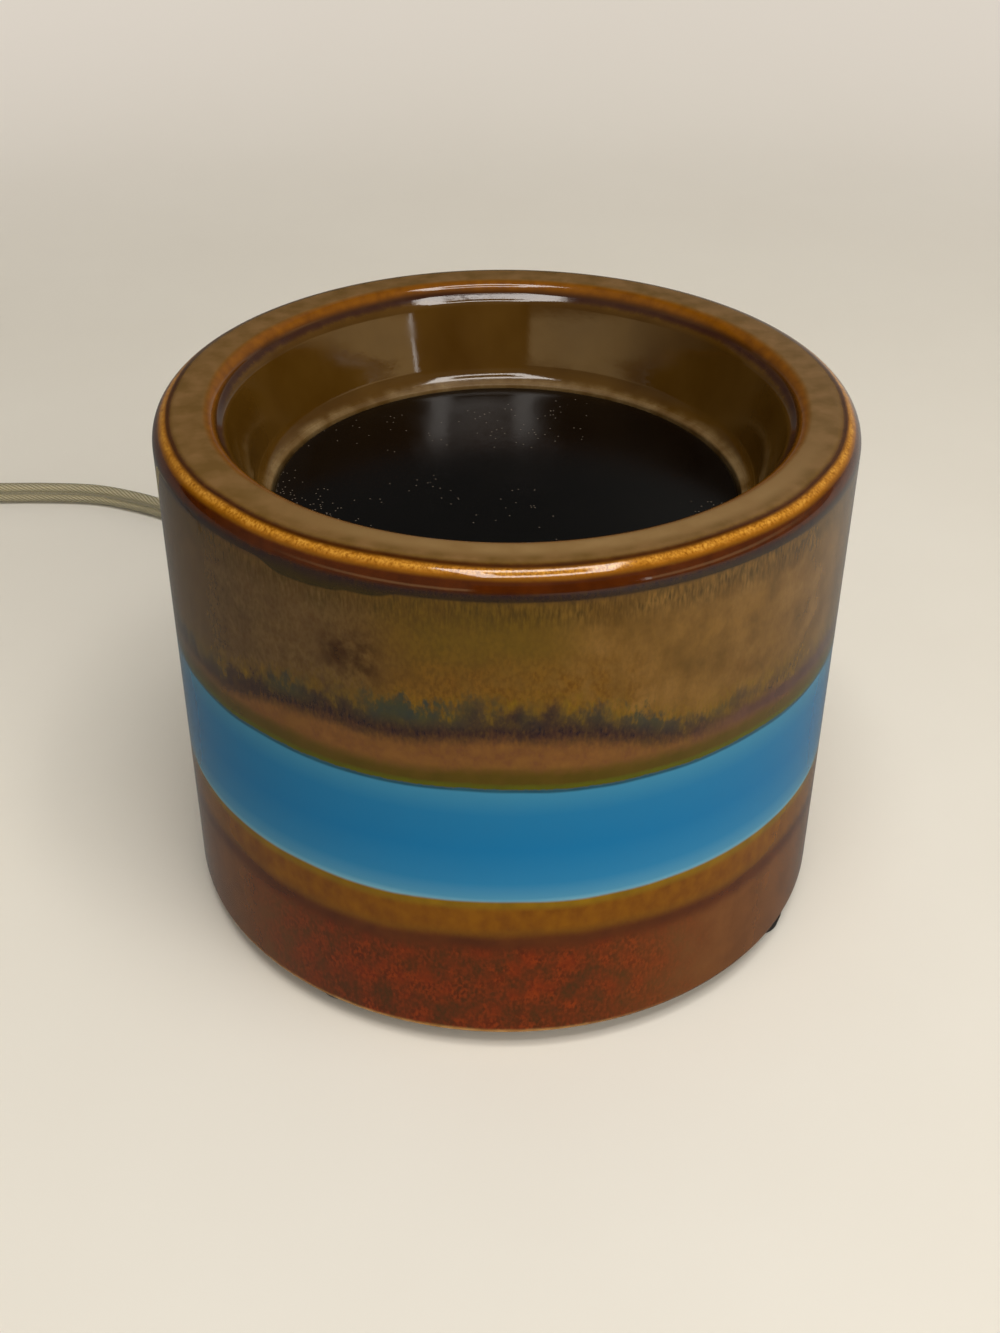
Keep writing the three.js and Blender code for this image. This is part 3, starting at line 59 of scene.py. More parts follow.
# %% [markdown]
# ## Camera
# The photo looks down on the rim from a little to the left of the front. Its lens and place were
# found by fitting the rim, the plate and the foot line of the drum, so the render can be laid over
# the photo. Aiming a camera at a target is quicker, but a fit gives heading, tilt and roll as
# numbers, so they are turned in that order. The 36 mm sensor lies on the picture's long side.

# %% Camera
def in_scene(name, data):
    """An object that shows the given data, linked into the scene."""
    thing = bpy.data.objects.new(name, data)
    bpy.context.collection.objects.link(thing)
    return thing


SENSOR = 36
PICTURE_TALL = 1333
FOCAL_PIXELS = 1633
EYE = (-66.2, -246.9, 215.3)  # millimetres
heading, tilt, roll = (math.radians(angle) for angle in (-14.8, 34.59, 0.27))
view_lens = bpy.data.cameras.new("photo_view")
view_lens.lens = SENSOR * FOCAL_PIXELS / PICTURE_TALL
view_lens.clip_start = 0.01
photo_view = in_scene("photo_view", view_lens)
photo_view.matrix_world = (
    Matrix.Translation(Vector(EYE) * MM)
    @ Matrix.Rotation(heading, 4, "Z")
    @ Matrix.Rotation(math.pi / 2 - tilt, 4, "X")
    @ Matrix.Rotation(roll, 4, "Z")
)
bpy.context.scene.camera = photo_view
print("lens", round(view_lens.lens, 2), "mm")

# %% [markdown]
# ## Finishes: small tools
# Every finish is a node tree. One function feeds the inputs of a node, one adds a node with its
# settings, one turns an sRGB hex colour into the linear numbers that shader sockets hold, and one
# starts a new material with its shader. Nodes could be set up one by one instead, but then the
# plumbing would hide the finish. Patterns read the Object coordinates, so their sizes are real
# ones.

# %% Node and colour tools
def feed(node, inputs):
    """Fills inputs of a node with a value, a socket or a node, which gives its first output."""
    for key, value in inputs.items():
        if isinstance(value, bpy.types.Node):
            value = value.outputs[0]
        if isinstance(value, bpy.types.NodeSocket):
            node.id_data.links.new(value, node.inputs[key])
        else:
            node.inputs[key].default_value = value


def add(tree, kind, inputs=None, **settings):
    """Adds a node with its settings, which are its properties, and feeds its inputs."""
    node = tree.nodes.new(kind)
    for name, value in settings.items():
        setattr(node, name, value)
    feed(node, inputs or {})
    return node


def linear(hex_colour):
    """Linear RGBA of an sRGB hex colour."""
    parts = [int(hex_colour[i : i + 2], 16) / 255 for i in (1, 3, 5)]
    return [p / 12.92 if p <= 0.04045 else ((p + 0.055) / 1.055) ** 2.4 for p in parts] + [1.0]


def new_finish(name, sockets):
    """A material with its node tree, its shader and the Object coordinates of the piece."""
    material = bpy.data.materials.new(name)
    material.use_nodes = True
    tree = material.node_tree
    tree.nodes.clear()
    shader = add(tree, "ShaderNodeBsdfPrincipled", sockets)
    add(tree, "ShaderNodeOutputMaterial", {"Surface": shader})
    coords = add(tree, "ShaderNodeTexCoord").outputs["Object"]
    return material, tree, shader, coords


print("white is", linear("#FFFFFF"))

# %% [markdown]
# ## Finishes: pattern tools
# A few nodes come back in every pattern: sums, a change of range, noise, a mix of two colours and
# bumps. A ready-made node group for each would do the same, but a function can be read like a
# formula.

# %% Pattern tools
def calc(tree, operation, *values):
    """A sum with up to three numbers."""
    return add(tree, "ShaderNodeMath", dict(enumerate(values)), operation=operation)


def dot(tree, first, second):
    """How far one direction goes along another."""
    vectors = {0: first, 1: second}
    return add(tree, "ShaderNodeVectorMath", vectors, operation="DOT_PRODUCT").outputs["Value"]


def spread(tree, value, source=(0, 1), target=(0, 1), eased=False):
    """Moves a value from one range to another and stops at its ends, softly if eased."""
    ends = {"From Min": source[0], "From Max": source[1], "To Min": target[0], "To Max": target[1]}
    way = "SMOOTHSTEP" if eased else "LINEAR"
    return add(tree, "ShaderNodeMapRange", {"Value": value, **ends}, interpolation_type=way)


def noise(tree, vector, size, detail):
    """Cloudy noise with grains of a size in metres."""
    return add(tree, "ShaderNodeTexNoise", {"Vector": vector, "Scale": 1 / size, "Detail": detail})


def mix(tree, share, first, second):
    """A colour between two others, which can be hex colours too."""
    a, b = (linear(c) if isinstance(c, str) else c for c in (first, second))
    return add(tree, "ShaderNodeMix", {0: share, 6: a, 7: b}, data_type="RGBA").outputs[2]


def bumps(tree, height, strength, distance):
    """Bumps that follow a height from 0 to 1."""
    return add(
        tree, "ShaderNodeBump", {"Height": height, "Strength": strength, "Distance": distance}
    )


print("pattern tools:", [tool.__name__ for tool in (calc, dot, spread, noise, mix, bumps)])

# %% [markdown]
# ## Cord: the clear jacket
# The jacket is clear PVC, drawn hot over two wires. It lets light through and bends it, so the
# wires in it look wide and the edges dark. A plain glass shader would look like water, so only
# part of the light goes through, and a haze and small ripples break the shine.

# %% Clear PVC
HAZE_SIZE, RIPPLE_SIZE = 6 * MM, 2.5 * MM
# Drawn PVC gives the eye a soft wet shine that wobbles a little, and a straw tint where thick.
clear_pvc, tree, shader, coords = new_finish(
    "clear_pvc_drawn",
    {"Base Color": linear("#F0E8C8"), "IOR": 1.53, "Transmission Weight": 0.74},
)
haze = noise(tree, coords, HAZE_SIZE, 3.0)
wet = spread(tree, haze, target=(0.05, 0.14))
ripple = noise(tree, coords, RIPPLE_SIZE, 1.0)
dents = bumps(tree, ripple, 0.15, 0.1 * MM)
feed(shader, {"Roughness": wet, "Normal": dents})
print("jacket finish:", clear_pvc.name)

# %% [markdown]
# ## Cord: the wires
# Each wire is a bundle of tinned copper strands laid in a twist, which the eye reads as fine slanted
# lines along each half of the cord. Every strand as a mesh would cost many thousands of faces, so
# one round wire gets a striped finish instead: a painted highlight on each strand's ridge and
# painted shade in the gaps between strands. The stripes come from an attribute that says where a
# point lies round its wire and how far along the cord it is, so they follow every bend.

# %% Tinned strands
STRAND_COUNT = 7  # the real wire has more, too fine to show, so they are drawn coarser
STRAND_LAY = 11 * MM  # length of one full twist
# Tinned strands give the eye bright ridges between dull gaps; the colour paints the highlight on the
# ridges and the shade in the gaps.
tinned_strand, tree, shader, coords = new_finish("tinned_copper_stranded", {"Metallic": 0.3})
lay = add(tree, "ShaderNodeAttribute", attribute_name="lay").outputs["Vector"]
lay_parts = add(tree, "ShaderNodeSeparateXYZ", {0: lay}).outputs
round_wire = calc(tree, "ARCTAN2", lay_parts[1], lay_parts[0])
along_wire = calc(tree, "MULTIPLY", lay_parts[2], math.tau * STRAND_COUNT / STRAND_LAY)
twist = calc(tree, "MULTIPLY_ADD", round_wire, STRAND_COUNT, along_wire)
wave = calc(tree, "SINE", twist)
ridge = spread(tree, wave, (-1.0, 1.0))
# Painted highlight on the strand ridges, painted shade in the gaps between them.
strand_highlight_and_shade = mix(tree, ridge, "#988A5A", "#FFFBEC")
dull = spread(tree, ridge, target=(0.5, 0.36))
gaps = bumps(tree, ridge, 0.4, 0.1 * MM)
feed(shader, {"Base Color": strand_highlight_and_shade, "Roughness": dull, "Normal": gaps})
print("wire finish:", tinned_strand.name)

# %% [markdown]
# ## Cord: where it lies
# The photo shows the first stretch: out of the back, down to the floor and away to the left. The
# rest is put away just outside the view, as for storage. A simulated rope falls as it likes, so the
# route is set out as listed stops along the plain solids, with one smooth curve through them.

# %% Cord path tools
def smooth_path(stops, step):
    """A smooth curve through stops in millimetres, as points in metres about a step apart."""
    stops = [Vector(stop) * MM for stop in stops]
    padded = [2 * stops[0] - stops[1], *stops, 2 * stops[-1] - stops[-2]]
    path = []
    for before, here, there, after in zip(padded, padded[1:], padded[2:], padded[3:]):
        count = max(2, round((there - here).length / step) + 1)
        pull, push = (there - before) / 6, (after - here) / 6
        path += interpolate_bezier(here, here + pull, there - push, there, count)[:-1]
    return path + [stops[-1]]


def path_length(path):
    return sum((b - a).length for a, b in zip(path, path[1:]))


CORD_STEP = 2 * MM
LAID = 3.05  # height of the cord's middle where it lies on its edge
mains_stops = (
    (0, 84.6, 17), (0, 88.6, 17), (-0.4, 95.5, 16), (-2, 102, 13.2), (-7, 111, 8.6),
    (-15.5, 119.5, 4.8), (-27, 127, 3.3), (-39.5, 133.5, LAID), (-51.5, 140.8, LAID),
    (-61.5, 149.5, LAID), (-72, 156.6, LAID), (-84, 160.8, LAID), (-97.5, 164.2, LAID),
    (-113, 168, LAID), (-129, 171.4, LAID), (-145, 172.4, LAID), (-159.5, 168.8, LAID),
    (-171, 160, 3.6), (-177.3, 149, 5.3), (-179.6, 141, 7.7), (-180, 134.3, 8.8),
    (-180, 130.3, 8.8),
)
mains_path = smooth_path(mains_stops, CORD_STEP)
print("cord to the switch:", round(path_length(mains_path), 3), "m")

# %% [markdown]
# ## Cord: the coil
# After the switch the cord is wound into a neat coil and ends in the plug. It goes inwards for two
# and a half turns on the floor, climbs a layer, and comes out again on top of itself. A spiral
# curve has one even pitch and can't do that, so the path is worked out point by point.

# %% Spare cord route
COIL_MIDDLE = Vector((-143.5, 30)) * MM
COIL_OUTER, COIL_INNER = 36.5 * MM, 28.4 * MM  # middle of the outermost and innermost turn
COIL_LOW, COIL_HIGH = 3.55 * MM, 9.35 * MM  # middle of the lower and the upper layer
COIL_TURNS, TURN_POINTS = 5, 72
CLIMB = 0.25  # turns on each side of the middle in which the cord climbs a layer
coil_path = []
for i in range(COIL_TURNS * TURN_POINTS + 1):
    turns = i / TURN_POINTS
    inward = 1 - abs(2 * turns / COIL_TURNS - 1)
    radius = COIL_OUTER + (COIL_INNER - COIL_OUTER) * inward
    climb = min(1, max(0, (turns - COIL_TURNS / 2) / (2 * CLIMB) + 0.5))
    height = COIL_LOW + (COIL_HIGH - COIL_LOW) * climb * climb * (3 - 2 * climb)
    angle = math.pi + math.tau * turns
    x, y = COIL_MIDDLE.x + radius * math.cos(angle), COIL_MIDDLE.y + radius * math.sin(angle)
    coil_path.append(Vector((x, y, height)))
coil_lead = smooth_path(
    (
        (-180, 69.7, 8.8), (-180, 65.7, 8.8), (-180, 57.5, 6.2), (-180, 49.4, 3.55),
        (-180, 45.4, 3.55), (-180, 32, 3.55),
    ),
    CORD_STEP,
)
plug_lead = smooth_path(
    ((-180, 28, 9.35), (-180, 14.6, 9.35), (-180, 10.6, 9.35), (-180, 2.3, 7.8), (-180, -1.7, 7.8)),
    CORD_STEP,
)
spare_path = coil_lead + coil_path + plug_lead
print("cord after the switch:", round(path_length(spare_path), 3), "m")

# %% [markdown]
# ## Cord: jacket and wires
# The section is two round lobes that meet in a groove, and the cord lies on its narrow edge. A
# curve with a bevel would let the section roll over in the bends, so it is carried upright along
# the path, ring by ring, and never twists. The two wires are carried along the same path.

# %% Mesh tools
def face_outward(mesh, sharp=None):
    """Turns the faces of a mesh outwards and shades it smooth, up to a sharp angle in degrees."""
    work = bmesh.new()
    work.from_mesh(mesh)
    bmesh.ops.recalc_face_normals(work, faces=work.faces)
    work.to_mesh(mesh)
    work.free()
    mesh.shade_smooth()
    if sharp is not None:
        mesh.set_sharp_from_angle(angle=math.radians(sharp))


def new_piece(name, verts, faces, finish, sharp=None):
    """An object at the origin with its place in its mesh."""
    mesh = bpy.data.meshes.new(name)
    mesh.from_pydata([tuple(v) for v in verts], [], faces)
    face_outward(mesh, sharp)
    mesh.materials.append(finish)
    return in_scene(name, mesh)


def skin(rings):
    """Points and faces over rings of one length, closed at both ends."""
    count = len(rings[0])
    faces = [tuple(range(count)), tuple(range((len(rings) - 1) * count, len(rings) * count))]
    for i in range(len(rings) - 1):
        for j in range(count):
            k = (j + 1) % count
            faces.append((i * count + j, i * count + k, (i + 1) * count + k, (i + 1) * count + j))
    return [point for ring in rings for point in ring], faces


def carried(path, outline):
    """Rings of an outline (across, up) carried upright along a path."""
    rings = []
    for i, here in enumerate(path):
        ahead = (path[min(i + 1, len(path) - 1)] - path[max(i - 1, 0)]).normalized()
        across = ahead.cross(Vector((0, 0, 1))).normalized()
        up = across.cross(ahead)
        rings.append([here + across * a + up * u for a, u in outline])
    return rings


print("mesh tools:", [tool.__name__ for tool in (face_outward, new_piece, skin, carried)])

# %% Cord meshes
LOBE, LOBE_OFFSET, LOBE_POINTS = 1.4 * MM, 1.35 * MM, 12
WIRE, WIRE_POINTS = 0.8 * MM, 10
GROOVE = math.radians(50)  # how far each lobe runs on past its side into the groove
jacket_outline = []
for lobe in (0, 1):
    for i in range(LOBE_POINTS):
        share = i / (LOBE_POINTS - 1)
        angle = lobe * math.pi - GROOVE + (math.pi + 2 * GROOVE) * share
        rise = LOBE_OFFSET if lobe == 0 else -LOBE_OFFSET
        jacket_outline.append((LOBE * math.cos(angle), rise + LOBE * math.sin(angle)))


def make_cord(name, path):
    """The jacket along a path, and its two wires with the attribute for the twist."""
    jacket = new_piece(name, *skin(carried(path, jacket_outline)), clear_pvc)
    wires, faces, lays = [], [], []
    along = [0.0]
    for a, b in zip(path, path[1:]):
        along.append(along[-1] + (b - a).length)
    spokes = [math.tau * i / WIRE_POINTS for i in range(WIRE_POINTS)]
    for rise in (LOBE_OFFSET, -LOBE_OFFSET):
        outline = [(WIRE * math.cos(s), rise + WIRE * math.sin(s)) for s in spokes]
        points, sides = skin(carried(path, outline))
        faces += [tuple(i + len(wires) for i in side) for side in sides]
        wires += points
        lays += [(math.cos(s), math.sin(s), far) for far in along for s in spokes]
    strands = new_piece(name + "_wires", wires, faces, tinned_strand)
    store = strands.data.attributes.new("lay", "FLOAT_VECTOR", "POINT")
    store.data.foreach_set("vector", [number for lay_point in lays for number in lay_point])
    return jacket, strands


mains_cord, mains_wires = make_cord("mains_cord", mains_path)
spare_cord, spare_wires = make_cord("spare_cord", spare_path)
print("cord faces:", len(mains_cord.data.polygons), len(spare_cord.data.polygons))

# %% [markdown]
# ## Turned pieces: one Geometry Nodes lathe
# The drum, the plate, the feet and the grommet were all thrown, spun or moulded round an axis, so
# one rule makes them: a section line goes round the axis. A screw modifier could do it, but a node
# tree can also hand on the run, which is the distance along the section, and the glaze bands
# follow that over the rim and down into the well. The tree lays out a grid with one column for
# each step round and one row for each point of the section, and moves every grid point to its
# place.

# %% Lathe tree
MERGED = 1e-6  # points this close become one: the seam, and the poles on the axis
lathe = bpy.data.node_groups.new("lathe", "GeometryNodeTree")
lathe_sockets = {
    name: lathe.interface.new_socket(name, in_out="INPUT", socket_type=kind).identifier
    for name, kind in (
        ("Section", "NodeSocketGeometry"),
        ("Steps round", "NodeSocketInt"),
        ("Finish", "NodeSocketMaterial"),
    )
}
lathe.interface.new_socket("Piece", in_out="OUTPUT", socket_type="NodeSocketGeometry")
given = add(lathe, "NodeGroupInput").outputs
line, steps_round = given["Section"], given["Steps round"]
rows = add(
    lathe, "GeometryNodeAttributeDomainSize", {0: line}, component="MESH"
).outputs["Point Count"]
columns = calc(lathe, "ADD", steps_round, 1.0)
grid = add(lathe, "GeometryNodeMeshGrid", {"Vertices X": columns, "Vertices Y": rows})
index = add(lathe, "GeometryNodeInputIndex")
row = calc(lathe, "MODULO", index, rows)
ratio = calc(lathe, "DIVIDE", index, rows)
column = calc(lathe, "FLOOR", ratio)
share = calc(lathe, "DIVIDE", column, steps_round)
angle = calc(lathe, "MULTIPLY", share, math.tau)
place = add(lathe, "GeometryNodeInputPosition")
sampled = add(
    lathe,
    "GeometryNodeSampleIndex",
    {"Geometry": line, "Value": place, "Index": row},
    data_type="FLOAT_VECTOR",
)
turned = add(
    lathe, "ShaderNodeVectorRotate", {"Vector": sampled, "Angle": angle}, rotation_type="Z_AXIS"
)
moved = add(lathe, "GeometryNodeSetPosition", {"Geometry": grid, "Position": turned})
run = add(
    lathe, "GeometryNodeInputNamedAttribute", {"Name": "run"}, data_type="FLOAT"
).outputs["Attribute"]
run_here = add(
    lathe,
    "GeometryNodeSampleIndex",
    {"Geometry": line, "Value": run, "Index": row},
    data_type="FLOAT",
)
kept = add(
    lathe,
    "GeometryNodeStoreNamedAttribute",
    {"Geometry": moved, "Name": "run", "Value": run_here},
    data_type="FLOAT",
)
closed = add(lathe, "GeometryNodeMergeByDistance", {"Geometry": kept, "Distance": MERGED})
real = add(lathe, "GeometryNodeRealizeInstances", {"Geometry": closed})
coated = add(lathe, "GeometryNodeSetMaterial", {"Geometry": real, "Material": given["Finish"]})
add(lathe, "NodeGroupOutput", {"Piece": coated})
print("lathe nodes:", len(lathe.nodes))

# %% [markdown]
# ## Section lines
# A section is a list of corners (radius, height, round) in millimetres. Each round becomes an arc,
# and long straight stretches get extra points, so that the mesh is even. A bevel after turning
# would round the edges too, but all by one width. The run is kept at every point.

# %% Section tools
def section(corners, closed, widest=4.0, arc=8):
    """Points of a section with rounded corners, and the number of the first point of each corner.

    Straight stretches are split at the widest step in millimetres, arcs at an angle in degrees.
    """
    points, firsts = [], []
    for i, (radius, height, curve) in enumerate(corners):
        here = Vector((radius, height))
        firsts.append(len(points))
        if not curve:
            points.append(here)
            continue
        back = (Vector(corners[i - 1][:2]) - here).normalized()
        ahead = (Vector(corners[(i + 1) % len(corners)][:2]) - here).normalized()
        half = back.angle(ahead) / 2
        middle = here + (back + ahead).normalized() * (curve / math.sin(half))
        spoke = here + back * (curve / math.tan(half)) - middle
        turn = math.copysign(math.pi - 2 * half, ahead.cross(back))
        steps = max(2, math.ceil(abs(math.degrees(turn)) / arc))
        points += [middle + Matrix.Rotation(turn * s / steps, 2) @ spoke for s in range(steps + 1)]
    if closed:
        points.append(points[0])
    dense, numbers = [], {}
    for i, (a, b) in enumerate(zip(points, points[1:])):
        numbers[i] = len(dense)
        pieces = max(1, math.ceil((b - a).length / widest))
        dense += [a.lerp(b, s / pieces) for s in range(pieces)]
    numbers[len(points) - 1] = len(dense)
    return dense + [points[-1]], [numbers[first] for first in firsts]


def runs_of(points):
    """Distance along a section at each of its points."""
    runs = [0.0]
    for a, b in zip(points, points[1:]):
        runs.append(runs[-1] + (b - a).length)
    return runs


drum_low, drum_high = (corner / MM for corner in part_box("ceramic_body"))
plate_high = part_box("hot_plate")[1] / MM
print("drum", drum_low, drum_high)

# %% Lathe tool
def settle(piece, sharp=35):
    """Turns a piece with modifiers into a plain mesh."""
    evaluated = piece.evaluated_get(bpy.context.evaluated_depsgraph_get())
    result = bpy.data.meshes.new_from_object(evaluated)
    piece.modifiers.clear()
    old, piece.data = piece.data, result
    bpy.data.meshes.remove(old)
    result.name = piece.name
    face_outward(result, sharp)
    return piece


def turn_on_lathe(name, points, steps, finish, start_run=0.0):
    """A turned piece from section points in millimetres, as a plain mesh."""
    mesh = bpy.data.meshes.new(name + "_section")
    edges = [(i, i + 1) for i in range(len(points) - 1)]
    mesh.from_pydata([(p.x * MM, 0, p.y * MM) for p in points], edges, [])
    store = mesh.attributes.new("run", "FLOAT", "POINT")
    store.data.foreach_set("value", [start_run + run for run in runs_of(points)])
    piece = in_scene(name, mesh)
    modifier = piece.modifiers.new("lathe", "NODES")
    modifier.node_group = lathe
    modifier[lathe_sockets["Steps round"]] = steps
    modifier[lathe_sockets["Finish"]] = finish
    return settle(piece)


print("lathe inputs:", list(lathe_sockets))

# %% [markdown]
# ## Drum: the section
# The drum is one stoneware wall: up the side, over a thick rim and down into a flared well, which
# ends in a narrow ring round the plate. Under the ring are the ledge that carries the plate, the
# hollow between the walls and the foot ring. Sizes come from the frame; the rounds are those of
# the clay.

# %% Drum section
PLATE_GAP = 0.4
RING_WIDTH, RING_FALL = 2.2, 0.8
WELL_DEPTH, WELL_FLARE = 17, 6.5
ROLL_START, ROLL_THICK = 2.2, 0.9  # glaze that ran off the rim and stands thick on the well's wall
SEAT_WIDTH, SEAT_DEPTH, LEDGE = 3.8, 3.1, 5.0
WALL = 5.5
RIM_DEEP, HOLLOW_INNER = 11, 51.3  # top of the hollow under the rim, and its inner radius there
FOOT_INNER = 44.3  # inner edge of the foot ring
COVER_SEAT, COVER_DEEP = 47.8, 2.2  # rebate for the base cover
foot_line, rim_top = drum_low.z, drum_high.z
drum_radius = drum_high.x
ring_inner = plate_high.x + PLATE_GAP
ring_outer = ring_inner + RING_WIDTH
ring_top = rim_top - WELL_DEPTH
seat = ring_top - RING_FALL - SEAT_DEPTH
well_edge = Vector((ring_outer + WELL_FLARE, rim_top))
well_wall = (Vector((ring_outer, ring_top)) - well_edge).normalized()
well_face = Vector((well_wall.y, -well_wall.x))  # square to the wall, towards the axis
glaze_roll = []
for along, thick, curve in ((0, 0, 1.0), (1.7, 1, 2.6)):
    spot = well_edge + well_wall * (ROLL_START + along) + well_face * (ROLL_THICK * thick)
    glaze_roll.append((spot.x, spot.y, curve))
drum_corners = (
    (drum_radius, foot_line, 1.6),
    (drum_radius, rim_top, 4.5),
    (well_edge.x, well_edge.y, 2.5),
    *glaze_roll,
    (ring_outer, ring_top, 4.4),
    (ring_inner, ring_top - RING_FALL, 0.5),
    (ring_inner, seat, 0),
    (ring_inner - SEAT_WIDTH, seat, 0),
    (ring_inner - SEAT_WIDTH, seat - LEDGE, 0),
    (ring_outer + WALL / 2, seat - LEDGE, 2.5),
    (HOLLOW_INNER, rim_top - RIM_DEEP, 2.5),
    (drum_radius - WALL, rim_top - RIM_DEEP, 2.5),
    (drum_radius - WALL, foot_line + WALL, 2.5),
    (FOOT_INNER, foot_line + WALL, 0),
    (FOOT_INNER, foot_line + COVER_DEEP, 0),
    (COVER_SEAT, foot_line + COVER_DEEP, 0),
    (COVER_SEAT, foot_line, 0.5),
)
drum_points, drum_firsts = section(drum_corners, closed=True, widest=3.0, arc=6)
print("drum section points:", len(drum_points))

# %% [markdown]
# ## Drum: the run
# The run is shifted so that on the side it equals the height above the floor in millimetres. A
# band at 45 is then 45 mm up, and past the rim the numbers simply go on. The corner where the wall
# of the well turns into the ring, the cove, is found by its place in the list of corners.

# %% Drum runs
COVE_CORNER = 5
drum_runs = runs_of(drum_points)
side_start = next(i for i, p in enumerate(drum_points) if p.x > drum_radius - 1e-6)
start_run = drum_points[side_start].y - drum_runs[side_start]
cove_start = start_run + drum_runs[drum_firsts[COVE_CORNER]]
print("run at the cove:", round(cove_start, 1))

# %% [markdown]
# ## Drum: the glaze
# Rings of glaze were brushed and dipped on stoneware and fired, so they ran into each other: olive
# brown with a dark streaked fringe where it ran down, a smooth blue band between amber edges, and
# a speckled red-brown foot. On edges the glaze runs thin and breaks to gold over dark red. A
# painted picture would need a flat map of the drum. Here the layers are laid one over another by
# the run, and noise of several sizes makes their grain, so they close all round with no seam.

# %% Glaze grains
# A fired glaze gives the eye glass over colour: sharp highlights, and the unevenness below them.
glaze, tree, shader, coords = new_finish(
    "stoneware_glazed", {"IOR": 1.5, "Specular IOR Level": 0.5}
)
height = add(tree, "ShaderNodeAttribute", attribute_name="run").outputs["Fac"]
grains = {}
# Name, size in millimetres, upright stretch (less is longer), detail, darkest and lightest noise.
# Real streaks and specks go down to a hair's width, too fine to show; the finest here are 0.4 mm.
for name, size, upright, detail, low, high in (
    ("sweep", 30, 1.0, 2, 0.3, 0.7),
    ("patch", 12, 0.7, 3, 0.34, 0.68),
    ("cloud", 4.5, 0.8, 4, 0.36, 0.68),
    ("tuft", 2.4, 0.7, 4, 0.32, 0.68),
    ("streak", 0.4, 0.2, 2, 0.32, 0.68),
    ("feather", 0.6, 0.5, 4, 0.32, 0.68),
    ("hair", 0.4, 0.1, 3, 0.3, 0.62),
    ("mottle", 2.6, 1.0, 4, 0.36, 0.66),
    ("speck", 0.6, 0.6, 4, 0.4, 0.64),
    ("fine", 0.42, 0.7, 2, 0.3, 0.7),
):
    squeezed = add(tree, "ShaderNodeMapping", {"Vector": coords, "Scale": (1, 1, upright)})
    grains[name] = spread(tree, noise(tree, squeezed, size * MM, detail), (low, high))
half_feather = calc(tree, "MULTIPLY", grains["feather"], 0.5)
grains["ragged"] = calc(tree, "MULTIPLY_ADD", grains["tuft"], 0.5, half_feather)
print("grains:", list(grains))

# %% [markdown]
# ## Drum: sides and spots
# Glaze laid on by hand is thicker on one side than on another, and it dripped at one place. Two side
# masks paint light instead: the right front, towards the light, is painted lighter with fainter
# specks, and the left, away from it, is painted darker and greyer as shade. A mask for a side
# compares a point with a direction, which fades round the drum more softly than an angle would. The
# fringe climbs in front, and the dark edge under the rim hangs in one drip.

# %% Glaze sides
def towards(degrees, near, far):
    """1 on the side of the drum that faces an angle, fading to 0 from near to far degrees off."""
    a = math.radians(degrees)
    facing = dot(tree, coords, (math.cos(a), math.sin(a), 0))
    edges = [drum_radius * MM * math.cos(math.radians(off)) for off in (far, near)]
    return spread(tree, facing, edges, eased=True)


def blotch(spot):
    """A spot with a cloudy edge."""
    return calc(tree, "MULTIPLY", spot, grains["mottle"])


fringe_lift = towards(-116, 2, 42)
drip_lift = calc(tree, "MULTIPLY_ADD", towards(-135.5, 0, 8), 1.7, towards(-126, 0, 6))
heavy_side = towards(-125, 40, 68)
# Painted light: the right front, towards the light, is painted lighter, and the specks are fainter
# there.
lit_side = towards(-66, 8, 60)
for name, value, first, last, side in (
    ("shredded", grains["feather"], 0.7, 1.0, heavy_side),
    ("teal_patch", grains["patch"], 0.0, 1.0, heavy_side),
    ("faint", lit_side, 1.0, 0.35, grains["speck"]),
):
    scaled = spread(tree, value, target=(first, last))
    grains[name] = calc(tree, "MULTIPLY", scaled, side)
FAINT = 0.45  # the specks in the brown are no stronger than this
faint_specks = calc(tree, "MULTIPLY", grains["faint"], FAINT)
print("grains with sides:", len(grains))

# %% [markdown]
# ## Drum: the blue band
# The blue glaze pooled at the lower edge, where it is pale, and is deepest a little below the
# middle. A colour ramp over the run gives that in one node, which a stack of layers couldn't do as
# smoothly.

# %% Blue ramp
blue_stops = (
    (33.8, "#6A9FB4"), (34.8, "#4686A8"), (38, "#2474A2"),
    (45, "#106A9C"), (52, "#1A6C9A"), (57, "#387C9C"),
)
blue_low, blue_high = blue_stops[0][0], blue_stops[-1][0]
blue_level = spread(tree, height, (blue_low, blue_high))
blue_ramp = add(tree, "ShaderNodeValToRGB", {0: blue_level})
while len(blue_ramp.color_ramp.elements) < len(blue_stops):
    blue_ramp.color_ramp.elements.new(0.5)
for element, (level, shade) in zip(blue_ramp.color_ramp.elements, blue_stops):
    element.position = (level - blue_low) / (blue_high - blue_low)
    element.color = linear(shade)
print("blue stops:", len(blue_stops))

# %% [markdown]
# ## Drum: the table of layers
# Each row is one coat, in the order in which it covers the others: the browns, the foot, amber and
# blue, the fringe, the rim and the well. Three rows are painted light, not glaze: a lighter brown on
# the side towards the light, a darker brown as painted shade on the side away from it, and a paler
# rim top in front, a painted reflection. Two more tables say which coats keep to a side or are
# broken up by a grain, and which edges climb with the fringe or hang with the drip.

